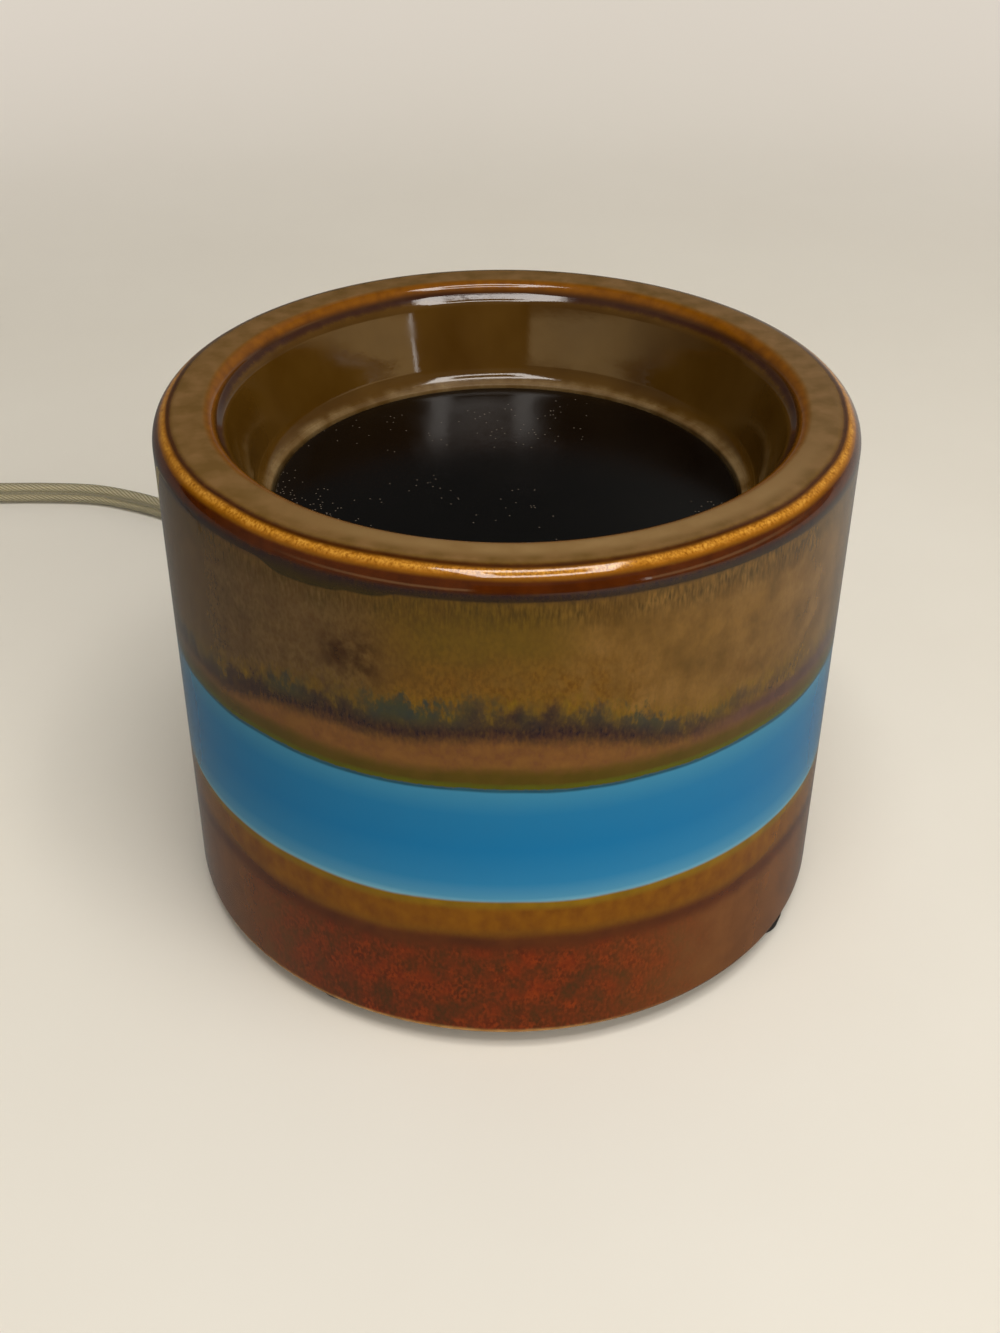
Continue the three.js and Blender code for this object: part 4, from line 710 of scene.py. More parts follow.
# %% Glaze layers
where = {
    "brown_grain": faint_specks,
    # painted light on the right front, towards the light
    "brown_warm": lit_side,
    # painted shade on the left, away from the light
    "brown_dusk": towards(-146, 8, 30),
    "brown_olive": towards(-108, 2, 17),
    "brown_russet": blotch(towards(-102, 4, 22)),
    "brown_cloud": grains["cloud"],
    "brown_streaks": grains["streak"],
    "burnt_spot": blotch(towards(-127.5, 0, 6)),
    "pink_stain": grains["mottle"],
    "ochre": grains["tuft"],
    "fringe": grains["shredded"],
    "fringe_shade": grains["feather"],
    "fringe_teal": grains["teal_patch"],
    "purple_edge": towards(-42, 15, 38),
    "gold_ribs": grains["hair"],
    "foot_red": grains["speck"],
    "foot_dark": grains["cloud"],
    "foot_brown": towards(68, 132, 168),
    "foot_line": towards(-128, 15, 60),
    # painted reflection: a paler rim top on the side that faces the front
    "rim_pale": towards(-92, 8, 75),
    "ring_dust": grains["cloud"],
}
# How far the lower and the upper edge of a coat are lifted, in millimetres, and by which side.
edge_lifts = {
    "pink_brown": (0, 5.0, fringe_lift),
    "pink_stain": (0, 5.0, fringe_lift),
    "ochre": (5.0, 6.0, fringe_lift),
    "fringe_shade": (4.2, 6.2, fringe_lift),
    "fringe": (4.2, 5.9, fringe_lift),
    "fringe_teal": (4.8, 6.4, fringe_lift),
    "drip": (-1.0, 0, drip_lift),
}
# Name, two colours, the grain between them, from, to, softness, wander and raggedness of the edges.
layers = (
    # painted light: a lighter brown on the side towards the light
    ("brown_warm", "#70501C", "#7A5A2A", "patch", 60, 91, 2.0, 0.5, 0.5),
    ("brown_cloud", "#583F12", "#60420E", "patch", 60, 91, 2.0, 0.5, 0.5),
    # painted shade: a darker, greyer brown on the side away from the light
    ("brown_dusk", "#5E4828", "#523C20", "mottle", 64, 91, 4.0, 0.5, 0.5),
    ("brown_olive", "#604810", "#5A440E", "tuft", 80, 91, 4.0, 0.5, 0.5),
    ("brown_russet", "#6C4A12", "#5E3E0C", "speck", 68, 80, 4.0, 0.5, 1.5),
    ("brown_grain", "#3E2C0E", "#4C300C", "cloud", 60, 91, 2.0, 0.5, 0.5),
    ("brown_streaks", "#40300C", "#46300A", "cloud", 87, 92, 2.8, 0.5, 2.0),
    ("burnt_spot", "#2A1602", "#361E04", "cloud", 76.0, 83.0, 2.6, 0.8, 1.2),
    ("foot", "#521E04", "#6A2606", "mottle", -9, 25.5, 1.4, 0.6, 0.3),
    ("foot_red", "#86340A", "#722A06", "mottle", -9, 23.5, 2.0, 0.8, 0.6),
    ("foot_dark", "#42280A", "#56260A", "speck", -9, 24, 2.0, 0.8, 0.4),
    ("foot_brown", "#623A16", "#6E431C", "cloud", -9, 24.5, 2.0, 0.8, 0.4),
    ("foot_line", "#C09458", "#9A6E34", "mottle", -9, 4.4, 0.5, 0.1, 0.1),
    ("dark_line", "#48220A", "#54290A", "cloud", 23.2, 26.8, 1.8, 0.8, 0.5),
    ("amber", "#7A4C04", "#683C04", "tuft", 26.8, 34.4, 1.7, 0.8, 0.5),
    ("amber_line", "#80600C", "#6E5208", "cloud", 32.4, 34.4, 0.8, 0.4, 0.2),
    ("blue", None, None, None, 33.9, 57.2, 0.35, 0.35, 0.15),
    ("olive_line", "#483A06", "#503E0A", "cloud", 57.1, 61.2, 0.5, 0.4, 0.2),
    ("green_hairline", "#4E500A", "#484A0A", "cloud", 57.1, 58.1, 0.4, 0.35, 0.15),
    ("blue_hairline", "#1E4658", "#205064", "cloud", 56.6, 57.2, 0.25, 0.35, 0.15),
    ("pink_brown", "#785026", "#6E4A20", "patch", 61.0, 64, 1.6, 0.6, 0.6),
    ("pink_stain", "#68441F", "#623E22", "speck", 60.5, 63.5, 1.8, 0.6, 0.6),
    ("ochre", "#785C04", "#644A06", "streak", 62, 68, 2.4, 1.0, 3.0),
    ("fringe_shade", "#42301A", "#3A2A1E", "hair", 61.8, 66.2, 3.0, 1.0, 3.2),
    ("fringe", "#20121A", "#301E1A", "streak", 62.0, 64.8, 1.6, 1.0, 3.2),
    ("purple_edge", "#452C26", "#543830", "cloud", 60.8, 63.4, 1.1, 0.6, 0.8),
    ("fringe_teal", "#3A3A24", "#30342C", "mottle", 64.4, 66.4, 2.0, 1.0, 3.8),
    ("drip", "#2C2206", "#382A0A", "cloud", 91.3, 93, 0.22, 0.1, 0.1),
    ("under_rim", "#221218", "#2E1C14", "feather", 91.5, 93.0, 1.2, 0.6, 0.7),
    ("dark_red", "#3C1802", "#481E02", "tuft", 92.6, 94.8, 0.5, 0.25, 0.2),
    ("golden_edge", "#8E560A", "#7A4806", "tuft", 94.7, 96.8, 0.55, 0.25, 0.2),
    ("gold_ribs", "#CC9438", "#B87C20", "tuft", 95.3, 96.3, 0.5, 0.25, 0.2),
    ("outer_hairline", "#381A04", "#462406", "tuft", 96.5, 97.5, 0.4, 0.25, 0.2),
    ("rim_flat", "#644A22", "#785A34", "cloud", 97.5, 103.2, 0.7, 0.3, 0.2),
    # painted reflection: the rim top paler and greyer in front, as a haze
    ("rim_pale", "#8A6E46", "#7E623A", "cloud", 99.6, 103.0, 1.4, 0.3, 0.2),
    ("inner_golden", "#7C4A08", "#683C08", "tuft", 103.0, 105.8, 0.7, 0.3, 0.2),
    ("inner_hairline", "#321A12", "#3A2214", "tuft", 105.2, 107.5, 0.9, 0.4, 0.6),
    ("well", "#452C06", "#523810", "patch", 107.0, 140, 0.8, 0.3, 0.2),
    ("ring", "#5A4018", "#684C22", "cloud", cove_start + 3.2, 150, 0.9, 0.2, 0.1),
    ("ring_dust", "#7E6844", "#6E5632", "fine", cove_start + 2.6, 150, 0.9, 0.2, 0.1),
)
print("glaze layers:", len(layers))

# %% [markdown]
# ## Drum: laying the glaze
# For each coat the run is first pushed up and down by slow noise, so that its edges wander, and
# the upper edge is torn by fine upright noise, because glaze runs down. Two soft steps make the
# mask of the coat, and a mix lays its colour over what is there already.

# %% Laying the glaze
masks = {}
colour = mix(tree, grains["patch"], "#5C420E", "#6A4A10")
for name, first, second, grain, low, high, soft, wander, ragged in layers:
    wandered = calc(tree, "MULTIPLY_ADD", grains["sweep"], 2.0 * wander, height)
    torn = calc(tree, "MULTIPLY_ADD", grains["ragged"], 2.0 * ragged, wandered)
    lift_low, lift_high, lifted_side = edge_lifts.get(name, (0, 0, None))
    mask = where.get(name)
    for level, at, lift, ends in (
        (wandered, low + wander, lift_low, (0.0, 1.0)),
        (torn, high + wander + ragged, lift_high, (1.0, 0.0)),
    ):
        if lift:
            level = calc(tree, "MULTIPLY_ADD", lifted_side, -lift, level)
        edge = spread(tree, level, (at - soft, at + soft), ends, eased=True)
        if mask is None:
            mask = edge
        else:
            mask = calc(tree, "MULTIPLY", mask, edge)
    masks[name] = mask
    if name == "blue":
        tint = blue_ramp
    else:
        tint = mix(tree, grains[grain], first, second)
    colour = mix(tree, mask, colour, tint)
feed(shader, {"Base Color": colour})
print("coats laid:", len(masks))

# %% [markdown]
# ## Drum: gloss, and the turning
# The glaze is glass, so its gloss is high and nearly even, with shallow dimples that make
# highlights swim. Only the ring round the plate is dull, because dust has baked on there. Then the
# section goes on the lathe with its run and this finish.

# %% Glaze gloss
RING_DULL = 0.5
gloss = spread(tree, grains["cloud"], target=(0.05, 0.11))
worn = add(tree, "ShaderNodeMix", {0: masks["ring"], 2: gloss, 3: RING_DULL}, data_type="FLOAT")
dimples = bumps(tree, grains["mottle"], 0.1, 0.05 * MM)
feed(shader, {"Roughness": worn, "Normal": dimples})
print("glaze nodes:", len(tree.nodes))

# %% Drum
glazed_drum = turn_on_lathe("glazed_drum", drum_points, 256, glaze, start_run)
print("drum faces:", len(glazed_drum.data.polygons))

# %% [markdown]
# ## Hot plate: the enamel
# A flat steel plate with a baked black enamel, satin from use. Dust has settled on it: fine pale
# specks, thickest in a heap at the front left. Scattered grains of mesh would be far too many
# faces, so the specks are Voronoi cells. A cell shows its dot only if its random number is below
# what has gathered there.

# %% Black enamel
SATIN_SIZE, DRIFT_SIZE = 9 * MM, 17 * MM
SPECK_SIZE = 0.55 * MM  # real dust is finer and wouldn't show, so it is drawn coarser
HEAP_SIDE, HEAP_START, HEAP_FULL = (-0.9, -0.44, 0), 24 * MM, 41 * MM
# Baked enamel gives the eye a deep black with soft mirror images, and the dust a pale bloom on it.
enamel, tree, shader, coords = new_finish(
    "enamel_black_satin", {"IOR": 1.5, "Specular IOR Level": 0.45}
)
grain = noise(tree, coords, SATIN_SIZE, 5.0)
satin = spread(tree, grain, target=(0.14, 0.24))
cells = add(
    tree,
    "ShaderNodeTexVoronoi",
    {"Vector": coords, "Scale": 1 / SPECK_SIZE},
    voronoi_dimensions="2D",
).outputs
dots = spread(tree, cells["Distance"], (0.14, 0.3), (1.0, 0.0))
lot = add(tree, "ShaderNodeSeparateColor", {0: cells["Color"]})
drift = noise(tree, coords, DRIFT_SIZE, 2.0)
settled = spread(tree, drift, (0.5, 0.74), (0, 0.08))
near_heap = dot(tree, coords, HEAP_SIDE)
heaped = spread(tree, near_heap, (HEAP_START, HEAP_FULL))
gathered = calc(tree, "MULTIPLY_ADD", heaped, drift, settled)
chosen = calc(tree, "LESS_THAN", lot, gathered)
dust = calc(tree, "MULTIPLY", dots, chosen)
black = mix(tree, grain, "#010101", "#060505")
dusty = mix(tree, dust, black, "#6A6156")
proud = bumps(tree, dust, 0.3, 0.05 * MM)
feed(shader, {"Roughness": satin, "Base Color": dusty, "Normal": proud})
print("enamel nodes:", len(tree.nodes))

# %% [markdown]
# ## Hot plate: the disc
# Only the upper part of the plate shows in the well, as a flat disc with a softly rounded edge. It
# is round, so it goes on the lathe as well.

# %% Plate
PLATE_SHOWN = 2  # thickness of the disc
plate_under = plate_high.z - PLATE_SHOWN
plate_corners = (
    (0, plate_under, 0),
    (plate_high.x, plate_under, 0.3),
    (plate_high.x, plate_high.z, 0.8),
    (0, plate_high.z, 0),
)
plate_points, _ = section(plate_corners, closed=False, arc=10)
plate_face = turn_on_lathe("plate_face", plate_points, 192, enamel)
print("plate faces:", len(plate_face.data.polygons))

# %% [markdown]
# ## Rubber
# The feet, the grommet and the strap are black moulded rubber. A plain dark grey would look like
# paint, so one fine noise drives colour, roughness and pits together, and where the rubber is worn
# it is paler and duller.

# %% Rubber
GRIT_SIZE = 0.7 * MM  # the real grit is finer, and is drawn coarser so that it shows
# Moulded rubber gives the eye a soft dark sheen with no clear highlight.
rubber, tree, shader, coords = new_finish("rubber_moulded", {"IOR": 1.52})
grit = noise(tree, coords, GRIT_SIZE, 3.0)
tone = mix(tree, grit, "#100D0B", "#221D18")
wear = spread(tree, grit, target=(0.42, 0.72))
pits = bumps(tree, grit, 0.2, 0.05 * MM)
feed(shader, {"Base Color": tone, "Roughness": wear, "Normal": pits})
print("rubber:", rubber.name)

# %% [markdown]
# ## Feet
# Four moulded rubber feet are glued by hand under the foot ring, so they stand a little unevenly.
# One foot is turned, and a second small tree sets it on four points, because the feet repeat. Four
# copies would do, but with the tree a change to the one foot changes all. The points are the
# middles of the plain feet in the frame.

# %% Feet tree
feet_tree = bpy.data.node_groups.new("feet_on_spots", "GeometryNodeTree")
feet_sockets = {
    name: feet_tree.interface.new_socket(name, in_out="INPUT", socket_type=kind).identifier
    for name, kind in (
        ("Spots", "NodeSocketGeometry"),
        ("Foot", "NodeSocketObject"),
        ("Finish", "NodeSocketMaterial"),
    )
}
feet_tree.interface.new_socket("Feet", in_out="OUTPUT", socket_type="NodeSocketGeometry")
given = add(feet_tree, "NodeGroupInput").outputs
shape = add(feet_tree, "GeometryNodeObjectInfo", {"Object": given["Foot"]}).outputs["Geometry"]
set_out = add(
    feet_tree, "GeometryNodeInstanceOnPoints", {"Points": given["Spots"], "Instance": shape}
)
real = add(feet_tree, "GeometryNodeRealizeInstances", {"Geometry": set_out})
coated = add(feet_tree, "GeometryNodeSetMaterial", {"Geometry": real, "Material": given["Finish"]})
add(feet_tree, "NodeGroupOutput", {"Feet": coated})
print("feet nodes:", len(feet_tree.nodes))

# %% Feet
FOOT_NODES = ("foot_front_right", "foot_rear_right", "foot_rear_left", "foot_front_left")
FOOT_TAPER = 0.6
foot_low, foot_high = (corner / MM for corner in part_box(FOOT_NODES[0]))
foot_radius = (foot_high.x - foot_low.x) / 2
foot_corners = (
    (0, 0, 0),
    (foot_radius - FOOT_TAPER, 0, 0.7),
    (foot_radius, foot_high.z, 0.2),
    (0, foot_high.z, 0),
)
foot_points, _ = section(foot_corners, closed=False)
one_foot = turn_on_lathe("one_foot", foot_points, 48, rubber)
spots = bpy.data.meshes.new("foot_spots")
foot_boxes = [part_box(node) for node in FOOT_NODES]
spots.from_pydata([((a.x + b.x) / 2, (a.y + b.y) / 2, 0) for a, b in foot_boxes], [], [])
rubber_feet = in_scene("rubber_feet", spots)
modifier = rubber_feet.modifiers.new("feet", "NODES")
modifier.node_group = feet_tree
modifier[feet_sockets["Foot"]] = one_foot
modifier[feet_sockets["Finish"]] = rubber
settle(rubber_feet)
bpy.data.objects.remove(one_foot)
print("feet faces:", len(rubber_feet.data.polygons))

# %% [markdown]
# ## Grommet
# The cord leaves through a rubber grommet snapped into the back wall: a barbed end inside, a
# flange outside, and a tail with three grooves that bends with the cord. Cut-in grooves would need
# booleans, so they are part of the section. It is turned upright and then laid along Y at the
# hole's height.

# %% Grommet
GROMMET_HEIGHT = 17
TAIL_START, TAIL_END, TAIL_ROOT, TAIL_TIP = 62.3, 84.3, 5.4, 4.0
GROOVE_STARTS, GROOVE_DEEP = (66.4, 71.9, 77.4), 0.9


def tail_radius(along):
    return TAIL_ROOT + (TAIL_TIP - TAIL_ROOT) * (along - TAIL_START) / (TAIL_END - TAIL_START)


grommet_corners = [
    (0, 51.21, 0), (4.2, 51.21, 0.3), (6.3, 52.81, 0.3), (6.3, 53.71, 0.2),  # barb
    (5.1, 53.71, 0), (5.1, 60.3, 0),  # neck in the hole
    (8, 60.3, 0.2), (8, TAIL_START, 1.0),  # flange
    (TAIL_ROOT, TAIL_START, 0.8),
]
for start in GROOVE_STARTS:
    for along, deep in ((0, 0), (0.4, GROOVE_DEEP), (2.4, GROOVE_DEEP), (2.8, 0)):
        grommet_corners.append((tail_radius(start + along) - deep, start + along, 0.25))
grommet_corners += [(TAIL_TIP, TAIL_END, 0.7), (0, TAIL_END, 0)]
grommet_points, _ = section(grommet_corners, closed=False, widest=1.5, arc=15)
grommet = turn_on_lathe("grommet", grommet_points, 56, rubber)
laid_along_y = Matrix.Rotation(-math.pi / 2, 4, "X")
grommet.data.transform(Matrix.Translation((0, 0, GROMMET_HEIGHT * MM)) @ laid_along_y)
print("grommet faces:", len(grommet.data.polygons))

# %% [markdown]
# ## Finishes of metal, board, wire and plastic
# Most of what is inside never shows, but each plain solid still gets its own finish. They differ
# in numbers more than in kind, so one loop makes them: a two-tone noise at the grain of the
# material, a roughness that follows it and a little bump. The plastics of the switch and the plug
# are here too.

# %% Plain finishes
plain_finishes = {}
# Slot, name, two colours, grain in millimetres, its stretch, metallic, roughness and bump.
# Grains under 1 mm are drawn coarser than the real ones, which would be too fine to show.
for slot, name, first, second, size, stretch, metallic, rough, bump in (
    # felted fibre: soft and woolly, with no shine at all
    ("glass_fibre", "glass_fibre_felted", "#CFC5AB", "#E2DAC4",
     0.8, 0.3, 0.0, (0.85, 1.0), 0.5),
    # pressed flakes: silky, with patches that catch the light
    ("mica", "mica_pressed", "#8E7B52", "#B5A274",
     2.2, 1.0, 0.0, (0.25, 0.5), 0.2),
    # rolled ribbon: dark grey metal with fine lines along it, dulled by heat
    ("heating_alloy", "nickel_chrome_rolled", "#6E6A64", "#8A857C",
     0.6, 0.1, 1.0, (0.35, 0.55), 0.1),
    # zinc plate: bright bluish grey with cloudy spangles
    ("zinc_plated_steel", "steel_zinc_plated", "#A6A9AE", "#C3C6CA",
     1.2, 1.0, 1.0, (0.25, 0.45), 0.1),
    # rolled sheet: pale metal with long hairlines
    ("aluminium_sheet", "aluminium_rolled", "#BFC1C3", "#D2D4D6",
     0.5, 0.05, 1.0, (0.3, 0.45), 0.1),
    # rolled brass: warm yellow with soft lines, a little tarnished
    ("brass", "brass_rolled", "#C8A24E", "#DDBB6C",
     0.7, 0.1, 0.75, (0.3, 0.45), 0.1),
    # extruded silicone: satin and slightly waxy, in two colours
    ("white_silicone", "silicone_extruded_white", "#D8D4C8", "#E6E3DA",
     1.5, 1.0, 0.0, (0.5, 0.7), 0.15),
    ("red_silicone", "silicone_extruded_red", "#7E2A1C", "#9A3A2A",
     1.5, 1.0, 0.0, (0.5, 0.7), 0.15),
    # moulded nylon: creamy and half dull
    ("natural_nylon", "nylon_moulded", "#D9D3BE", "#E6E1CF",
     1.8, 1.0, 0.0, (0.35, 0.5), 0.15),
    # sprayed paint: black, with an orange peel that breaks up highlights
    ("black_painted_steel", "steel_painted_black", "#0E0E0E", "#1C1B1A",
     0.9, 1.0, 0.0, (0.35, 0.55), 0.3),
    # moulded soft PVC: milky, with a broad soft shine
    ("milky_plastic", "pvc_moulded_milky", "#D8D3C1", "#E1DDCD",
     0.6, 1.0, 0.0, (0.26, 0.38), 0.04),
    # moulded ABS: a cleaner white with a tighter shine
    ("white_plastic", "abs_moulded_white", "#E4E2DA", "#EBE9E3",
     0.6, 1.0, 0.0, (0.2, 0.3), 0.03),
):
    finish, tree, shader, coords = new_finish(name, {"Metallic": metallic})
    drawn = add(tree, "ShaderNodeMapping", {"Vector": coords, "Scale": (1, stretch, 1)})
    grain = noise(tree, drawn, size * MM, 4.0)
    tone = mix(tree, grain, first, second)
    sheen = spread(tree, grain, target=rough)
    relief = bumps(tree, grain, bump, 0.1 * MM)
    feed(shader, {"Base Color": tone, "Roughness": sheen, "Normal": relief})
    plain_finishes[slot] = finish
plain_finishes["clear_pvc"] = clear_pvc
plain_finishes["black_rubber"] = rubber
print("plain finishes:", len(plain_finishes))

# %% [markdown]
# ## Plain solids
# The solids inside keep the shape that they have in the frame, because it is right and hardly
# shows. Each one takes the finish of its slot in the record.

# %% Plain solids
dressed = 0
for part in frame["record"]["subparts"]:
    if part["material_slot"] in plain_finishes:
        solid = frame["nodes"][part["node"]]
        solid.data.materials.clear()
        solid.data.materials.append(plain_finishes[part["material_slot"]])
        dressed += 1
print("solids with a finish:", dressed)

# %% [markdown]
# ## Base cover
# A pressed steel disc, painted black, closes the foot ring. Its raised middle takes the washer and
# nut of the tie rod. A press forms one sheet, so the upper side is the lower line moved up by the
# sheet's thickness, and the two go on the lathe as one closed section.

# %% Base cover
COVER_SHEET = 1.2
cover_line = ((2.25, 8.95, 0), (11, 8.95, 1.5), (16, 3.95, 1.5), (47.3, 3.95, 0.3))
cover_corners = [*cover_line]
for radius, level, curve in reversed(cover_line):
    cover_corners.append((radius, level + COVER_SHEET, curve))
cover_points, _ = section(cover_corners, closed=True, arc=10)
pressed_cover = turn_on_lathe(
    "pressed_cover", cover_points, 128, plain_finishes["black_painted_steel"]
)
print("base cover faces:", len(pressed_cover.data.polygons))

# %% [markdown]
# ## Switch: its plan
# The in-line switch swells in the middle, where the rocker sits, and has rounded ends. A box with
# a bevel can't swell, so a quarter of the plan is drawn with two curves and mirrored twice.

# %% Switch plan
SWITCH_TALL, SWITCH_WALL, SWITCH_EDGE = 17, 2.2, 2.0
HALF_LONG, HALF_NECK, HALF_BELLY, END_ROUND = 30, 6.5, 11.5, 3.2
BELLY_PULL = 0.45  # handles of the swelling curve, as a share of the half length
quarter_turn = Matrix.Rotation(-math.pi / 2, 4, "Z")
switch_place = Matrix.Translation(Vector((-180, 100, 0.3)) * MM) @ quarter_turn


def switch_plan(margin):
    """The plan of the switch, drawn in by a margin: always the same number of points."""
    end, neck, belly = HALF_LONG - margin, HALF_NECK - margin, HALF_BELLY - margin
    corner = max(END_ROUND - margin, 0.05)
    side, low, pull = end - corner, neck - corner, BELLY_PULL * end
    start, tip, stop = (Vector((x, y, 0)) for x, y in ((end, low), (end, neck), (side, neck)))
    bend = interpolate_bezier(start, start.lerp(tip, 2 / 3), stop.lerp(tip, 2 / 3), stop, 7)
    leaving, arriving = Vector((side - pull, neck, 0)), Vector((pull, belly, 0))
    swell = interpolate_bezier(stop, leaving, arriving, Vector((0, belly, 0)), 17)
    quarter = bend[:-1] + swell
    upper = quarter + [Vector((-p.x, p.y, 0)) for p in reversed(quarter[:-1])]
    return upper + [Vector((p.x, -p.y, 0)) for p in reversed(upper)]


print("plan points:", len(switch_plan(0)))

# %% [markdown]
# ## Switch: cutting tools
# The window and the screw pockets are holes in a mesh that is made already. Building them in would
# tear up its rings, so plain blocks and pegs are taken away or joined on with exact booleans, and
# the result is settled into a plain mesh.

# %% Cutting tools
PEG_POINTS = 32


def block(x, y, low, high):
    """Corners and faces of a plain block about the Z axis, as a cutter."""
    signs = ((1, 1), (-1, 1), (-1, -1), (1, -1))
    return skin([[Vector((a * x, b * y, z)) * MM for a, b in signs] for z in (low, high)])


def peg(x, radius, low, high):
    """Points and faces of a round peg along Z, as a cutter or a post."""
    spokes = [math.tau * i / PEG_POINTS for i in range(PEG_POINTS)]
    ring = [(x + radius * math.cos(s), radius * math.sin(s)) for s in spokes]
    return skin([[Vector((*spot, z)) * MM for spot in ring] for z in (low, high)])


def worked(piece, tools, sharp=35):
    """Joins or cuts a piece with other solids, each given as (operation, verts, faces)."""
    helpers = []
    for operation, verts, faces in tools:
        helper = new_piece("tool", verts, faces, piece.data.materials[0])
        modifier = piece.modifiers.new("work", "BOOLEAN")
        modifier.operation = operation
        modifier.solver = "EXACT"
        modifier.object = helper
        helpers.append(helper)
    settle(piece, sharp)
    for helper in helpers:
        bpy.data.objects.remove(helper)


print("cutters:", [tool.__name__ for tool in (block, peg, worked)])

# %% [markdown]
# ## Switch: the shells
# Two moulded half shells meet at mid height and are screwed together from below. Each is a cup:
# rings of the plan go up the rounded outside, over the parting edge with its small chamfers and
# down the inside. The upper shell is the same cup upside down, with the window for the rocker.

# %% Switch shells
PARTING, EASE_OUT, EASE_IN = 8.35, 0.25, 0.2
SCREW_PLACES = (-20, 20)
POST = (3.1, 1.1, 8.3)  # radius, low end and high end
POCKET = (2.7, -1, 2.5)
WINDOW = (9.435, 4.8, 12, 18)  # half length, half width, low end and high end of the cutter
cup = []  # margin and height of each ring
for i in range(6):
    a = math.pi / 2 * i / 5
    cup.append((SWITCH_EDGE * (1 - math.sin(a)), SWITCH_EDGE * (1 - math.cos(a))))
cup += [
    (0, PARTING - EASE_OUT),
    (EASE_OUT, PARTING),
    (SWITCH_WALL - EASE_IN, PARTING),
    (SWITCH_WALL, PARTING - EASE_IN),
    (SWITCH_WALL, SWITCH_WALL),
]
milky = plain_finishes["milky_plastic"]
shells = []
for name, upside_down in (("switch_lower_shell", False), ("switch_upper_shell", True)):
    rings = []
    for margin, z in cup:
        level = SWITCH_TALL - z if upside_down else z
        rings.append([Vector((p.x, p.y, level)) * MM for p in switch_plan(margin)])
    shells.append(new_piece(name, *skin(rings), milky, sharp=35))
lower_shell, upper_shell = shells
posts = [("UNION", *peg(x, *POST)) for x in SCREW_PLACES]
pockets = [("DIFFERENCE", *peg(x, *POCKET)) for x in SCREW_PLACES]
worked(lower_shell, posts + pockets)
worked(upper_shell, [("DIFFERENCE", *block(*WINDOW))])
for shell in shells:
    shell.data.transform(switch_place)
print("switch shell faces:", [len(shell.data.polygons) for shell in shells])

# %% [markdown]
# ## Rocker
# The rocker is a moulded bar with two faces that meet in a shallow valley and round end walls
# about its pin, so it keeps its gap as it tips. Each face has three low ribs for the finger. Its
# side view is drawn once and carried across, with the outer edges drawn in a little, which gives a
# softer edge than a plain extrusion. It rides on its own body.

# %% Rocker side view
ROCKER_REACH = 9.135
RIBS, FACE_HEIGHT, FACE_TILT = (4.4, 5.6, 6.8), 3, math.radians(10)
VALLEY_SIDE, VALLEY = (1.2, 3.21), (0, 3.1)
FACE_END, FACE_CORNER, CORNER_EASE, SKIRT = (7.7, 4.36), (8, 4.41), 0.05, 3.2
right_half = [VALLEY_SIDE]
for x in RIBS:
    face = FACE_HEIGHT + x * math.tan(FACE_TILT)
    for aside, rise in ((-0.35, -0.06), (-0.12, 0.2), (0.12, 0.24), (0.35, 0.06)):
        right_half.append((x + aside, face + rise))
right_half.append(FACE_END)
top_angle = math.atan2(FACE_CORNER[1], FACE_CORNER[0]) - CORNER_EASE
low_angle = -math.asin(SKIRT / ROCKER_REACH)
for i in range(9):
    a = top_angle + (low_angle - top_angle) * i / 8
    right_half.append((ROCKER_REACH * math.cos(a), ROCKER_REACH * math.sin(a)))
side_view = right_half + [(-x, z) for x, z in reversed(right_half)] + [VALLEY]
print("rocker outline points:", len(side_view))

# %% Rocker
ROCKER_HALF_WIDE = 4.5
PIVOT_HEIGHT, REST_TILT = 14.5456, -10
rocker_edge = ((ROCKER_HALF_WIDE, 0.3), (ROCKER_HALF_WIDE - 0.09, 0.1), (ROCKER_HALF_WIDE - 0.3, 0))


def drawn_in(outline, margin):
    """A closed clockwise outline moved in by a margin, corner by corner."""
    moved = []
    for i, (x, z) in enumerate(outline):
        back, ahead = Vector(outline[i - 1]), Vector(outline[(i + 1) % len(outline)])
        along = (ahead - back).normalized()
        moved.append((x + along.y * margin, z - along.x * margin))
    return moved


rings = []
for across, margin in [(-a, m) for a, m in rocker_edge] + list(reversed(rocker_edge)):
    rings.append([Vector((x, across, z)) * MM for x, z in drawn_in(side_view, margin)])
rocker_bar = new_piece("rocker_bar", *skin(rings), plain_finishes["white_plastic"], sharp=30)
rocker_bar.data.transform(
    switch_place
    @ Matrix.Translation((0, 0, PIVOT_HEIGHT * MM))
    @ Matrix.Rotation(math.radians(REST_TILT), 4, "Y")
)
print("rocker faces:", len(rocker_bar.data.polygons))

# %% [markdown]
# ## Plug: the moulding
# The plug is moulded round its two blades: a tapered tail with grooves, a body that widens to a
# flange for the fingers, and grooves across the top and the underside. Joined boxes and cylinders
# would show their seams, so it is one row of rings from tail to face. A ring is an ellipse at the
# tail and grows boxier towards the face.

# %% Plug moulding
PLUG_MIDDLE = 7.5  # height of the plug's axis
RING_POINTS = 64
CORD_END, CORD_END_TAPER = 3.6, 1 / 12  # radius of the tail, and how it grows
CORD_END_GROOVES, CORD_END_DEEP = (2.0, 4.6, 7.2), 0.5
BODY_FROM, BODY_SWELL, BODY_TALL = 11, 19, 5  # start, length and first half height of the swelling
GRIP_GROOVES, GRIP_DEEP, GRIP_HALF = (23.75, 26.95, 30.15), 0.7, 0.95
FACE_FROM, FACE_WIDE, FACE_TALL, FACE_ROUND, BOXY = 40.5, 12.5, 7.5, 1.5, 5
plug_place = Matrix.Translation(Vector((-180, -2, 0.3)) * MM) @ quarter_turn


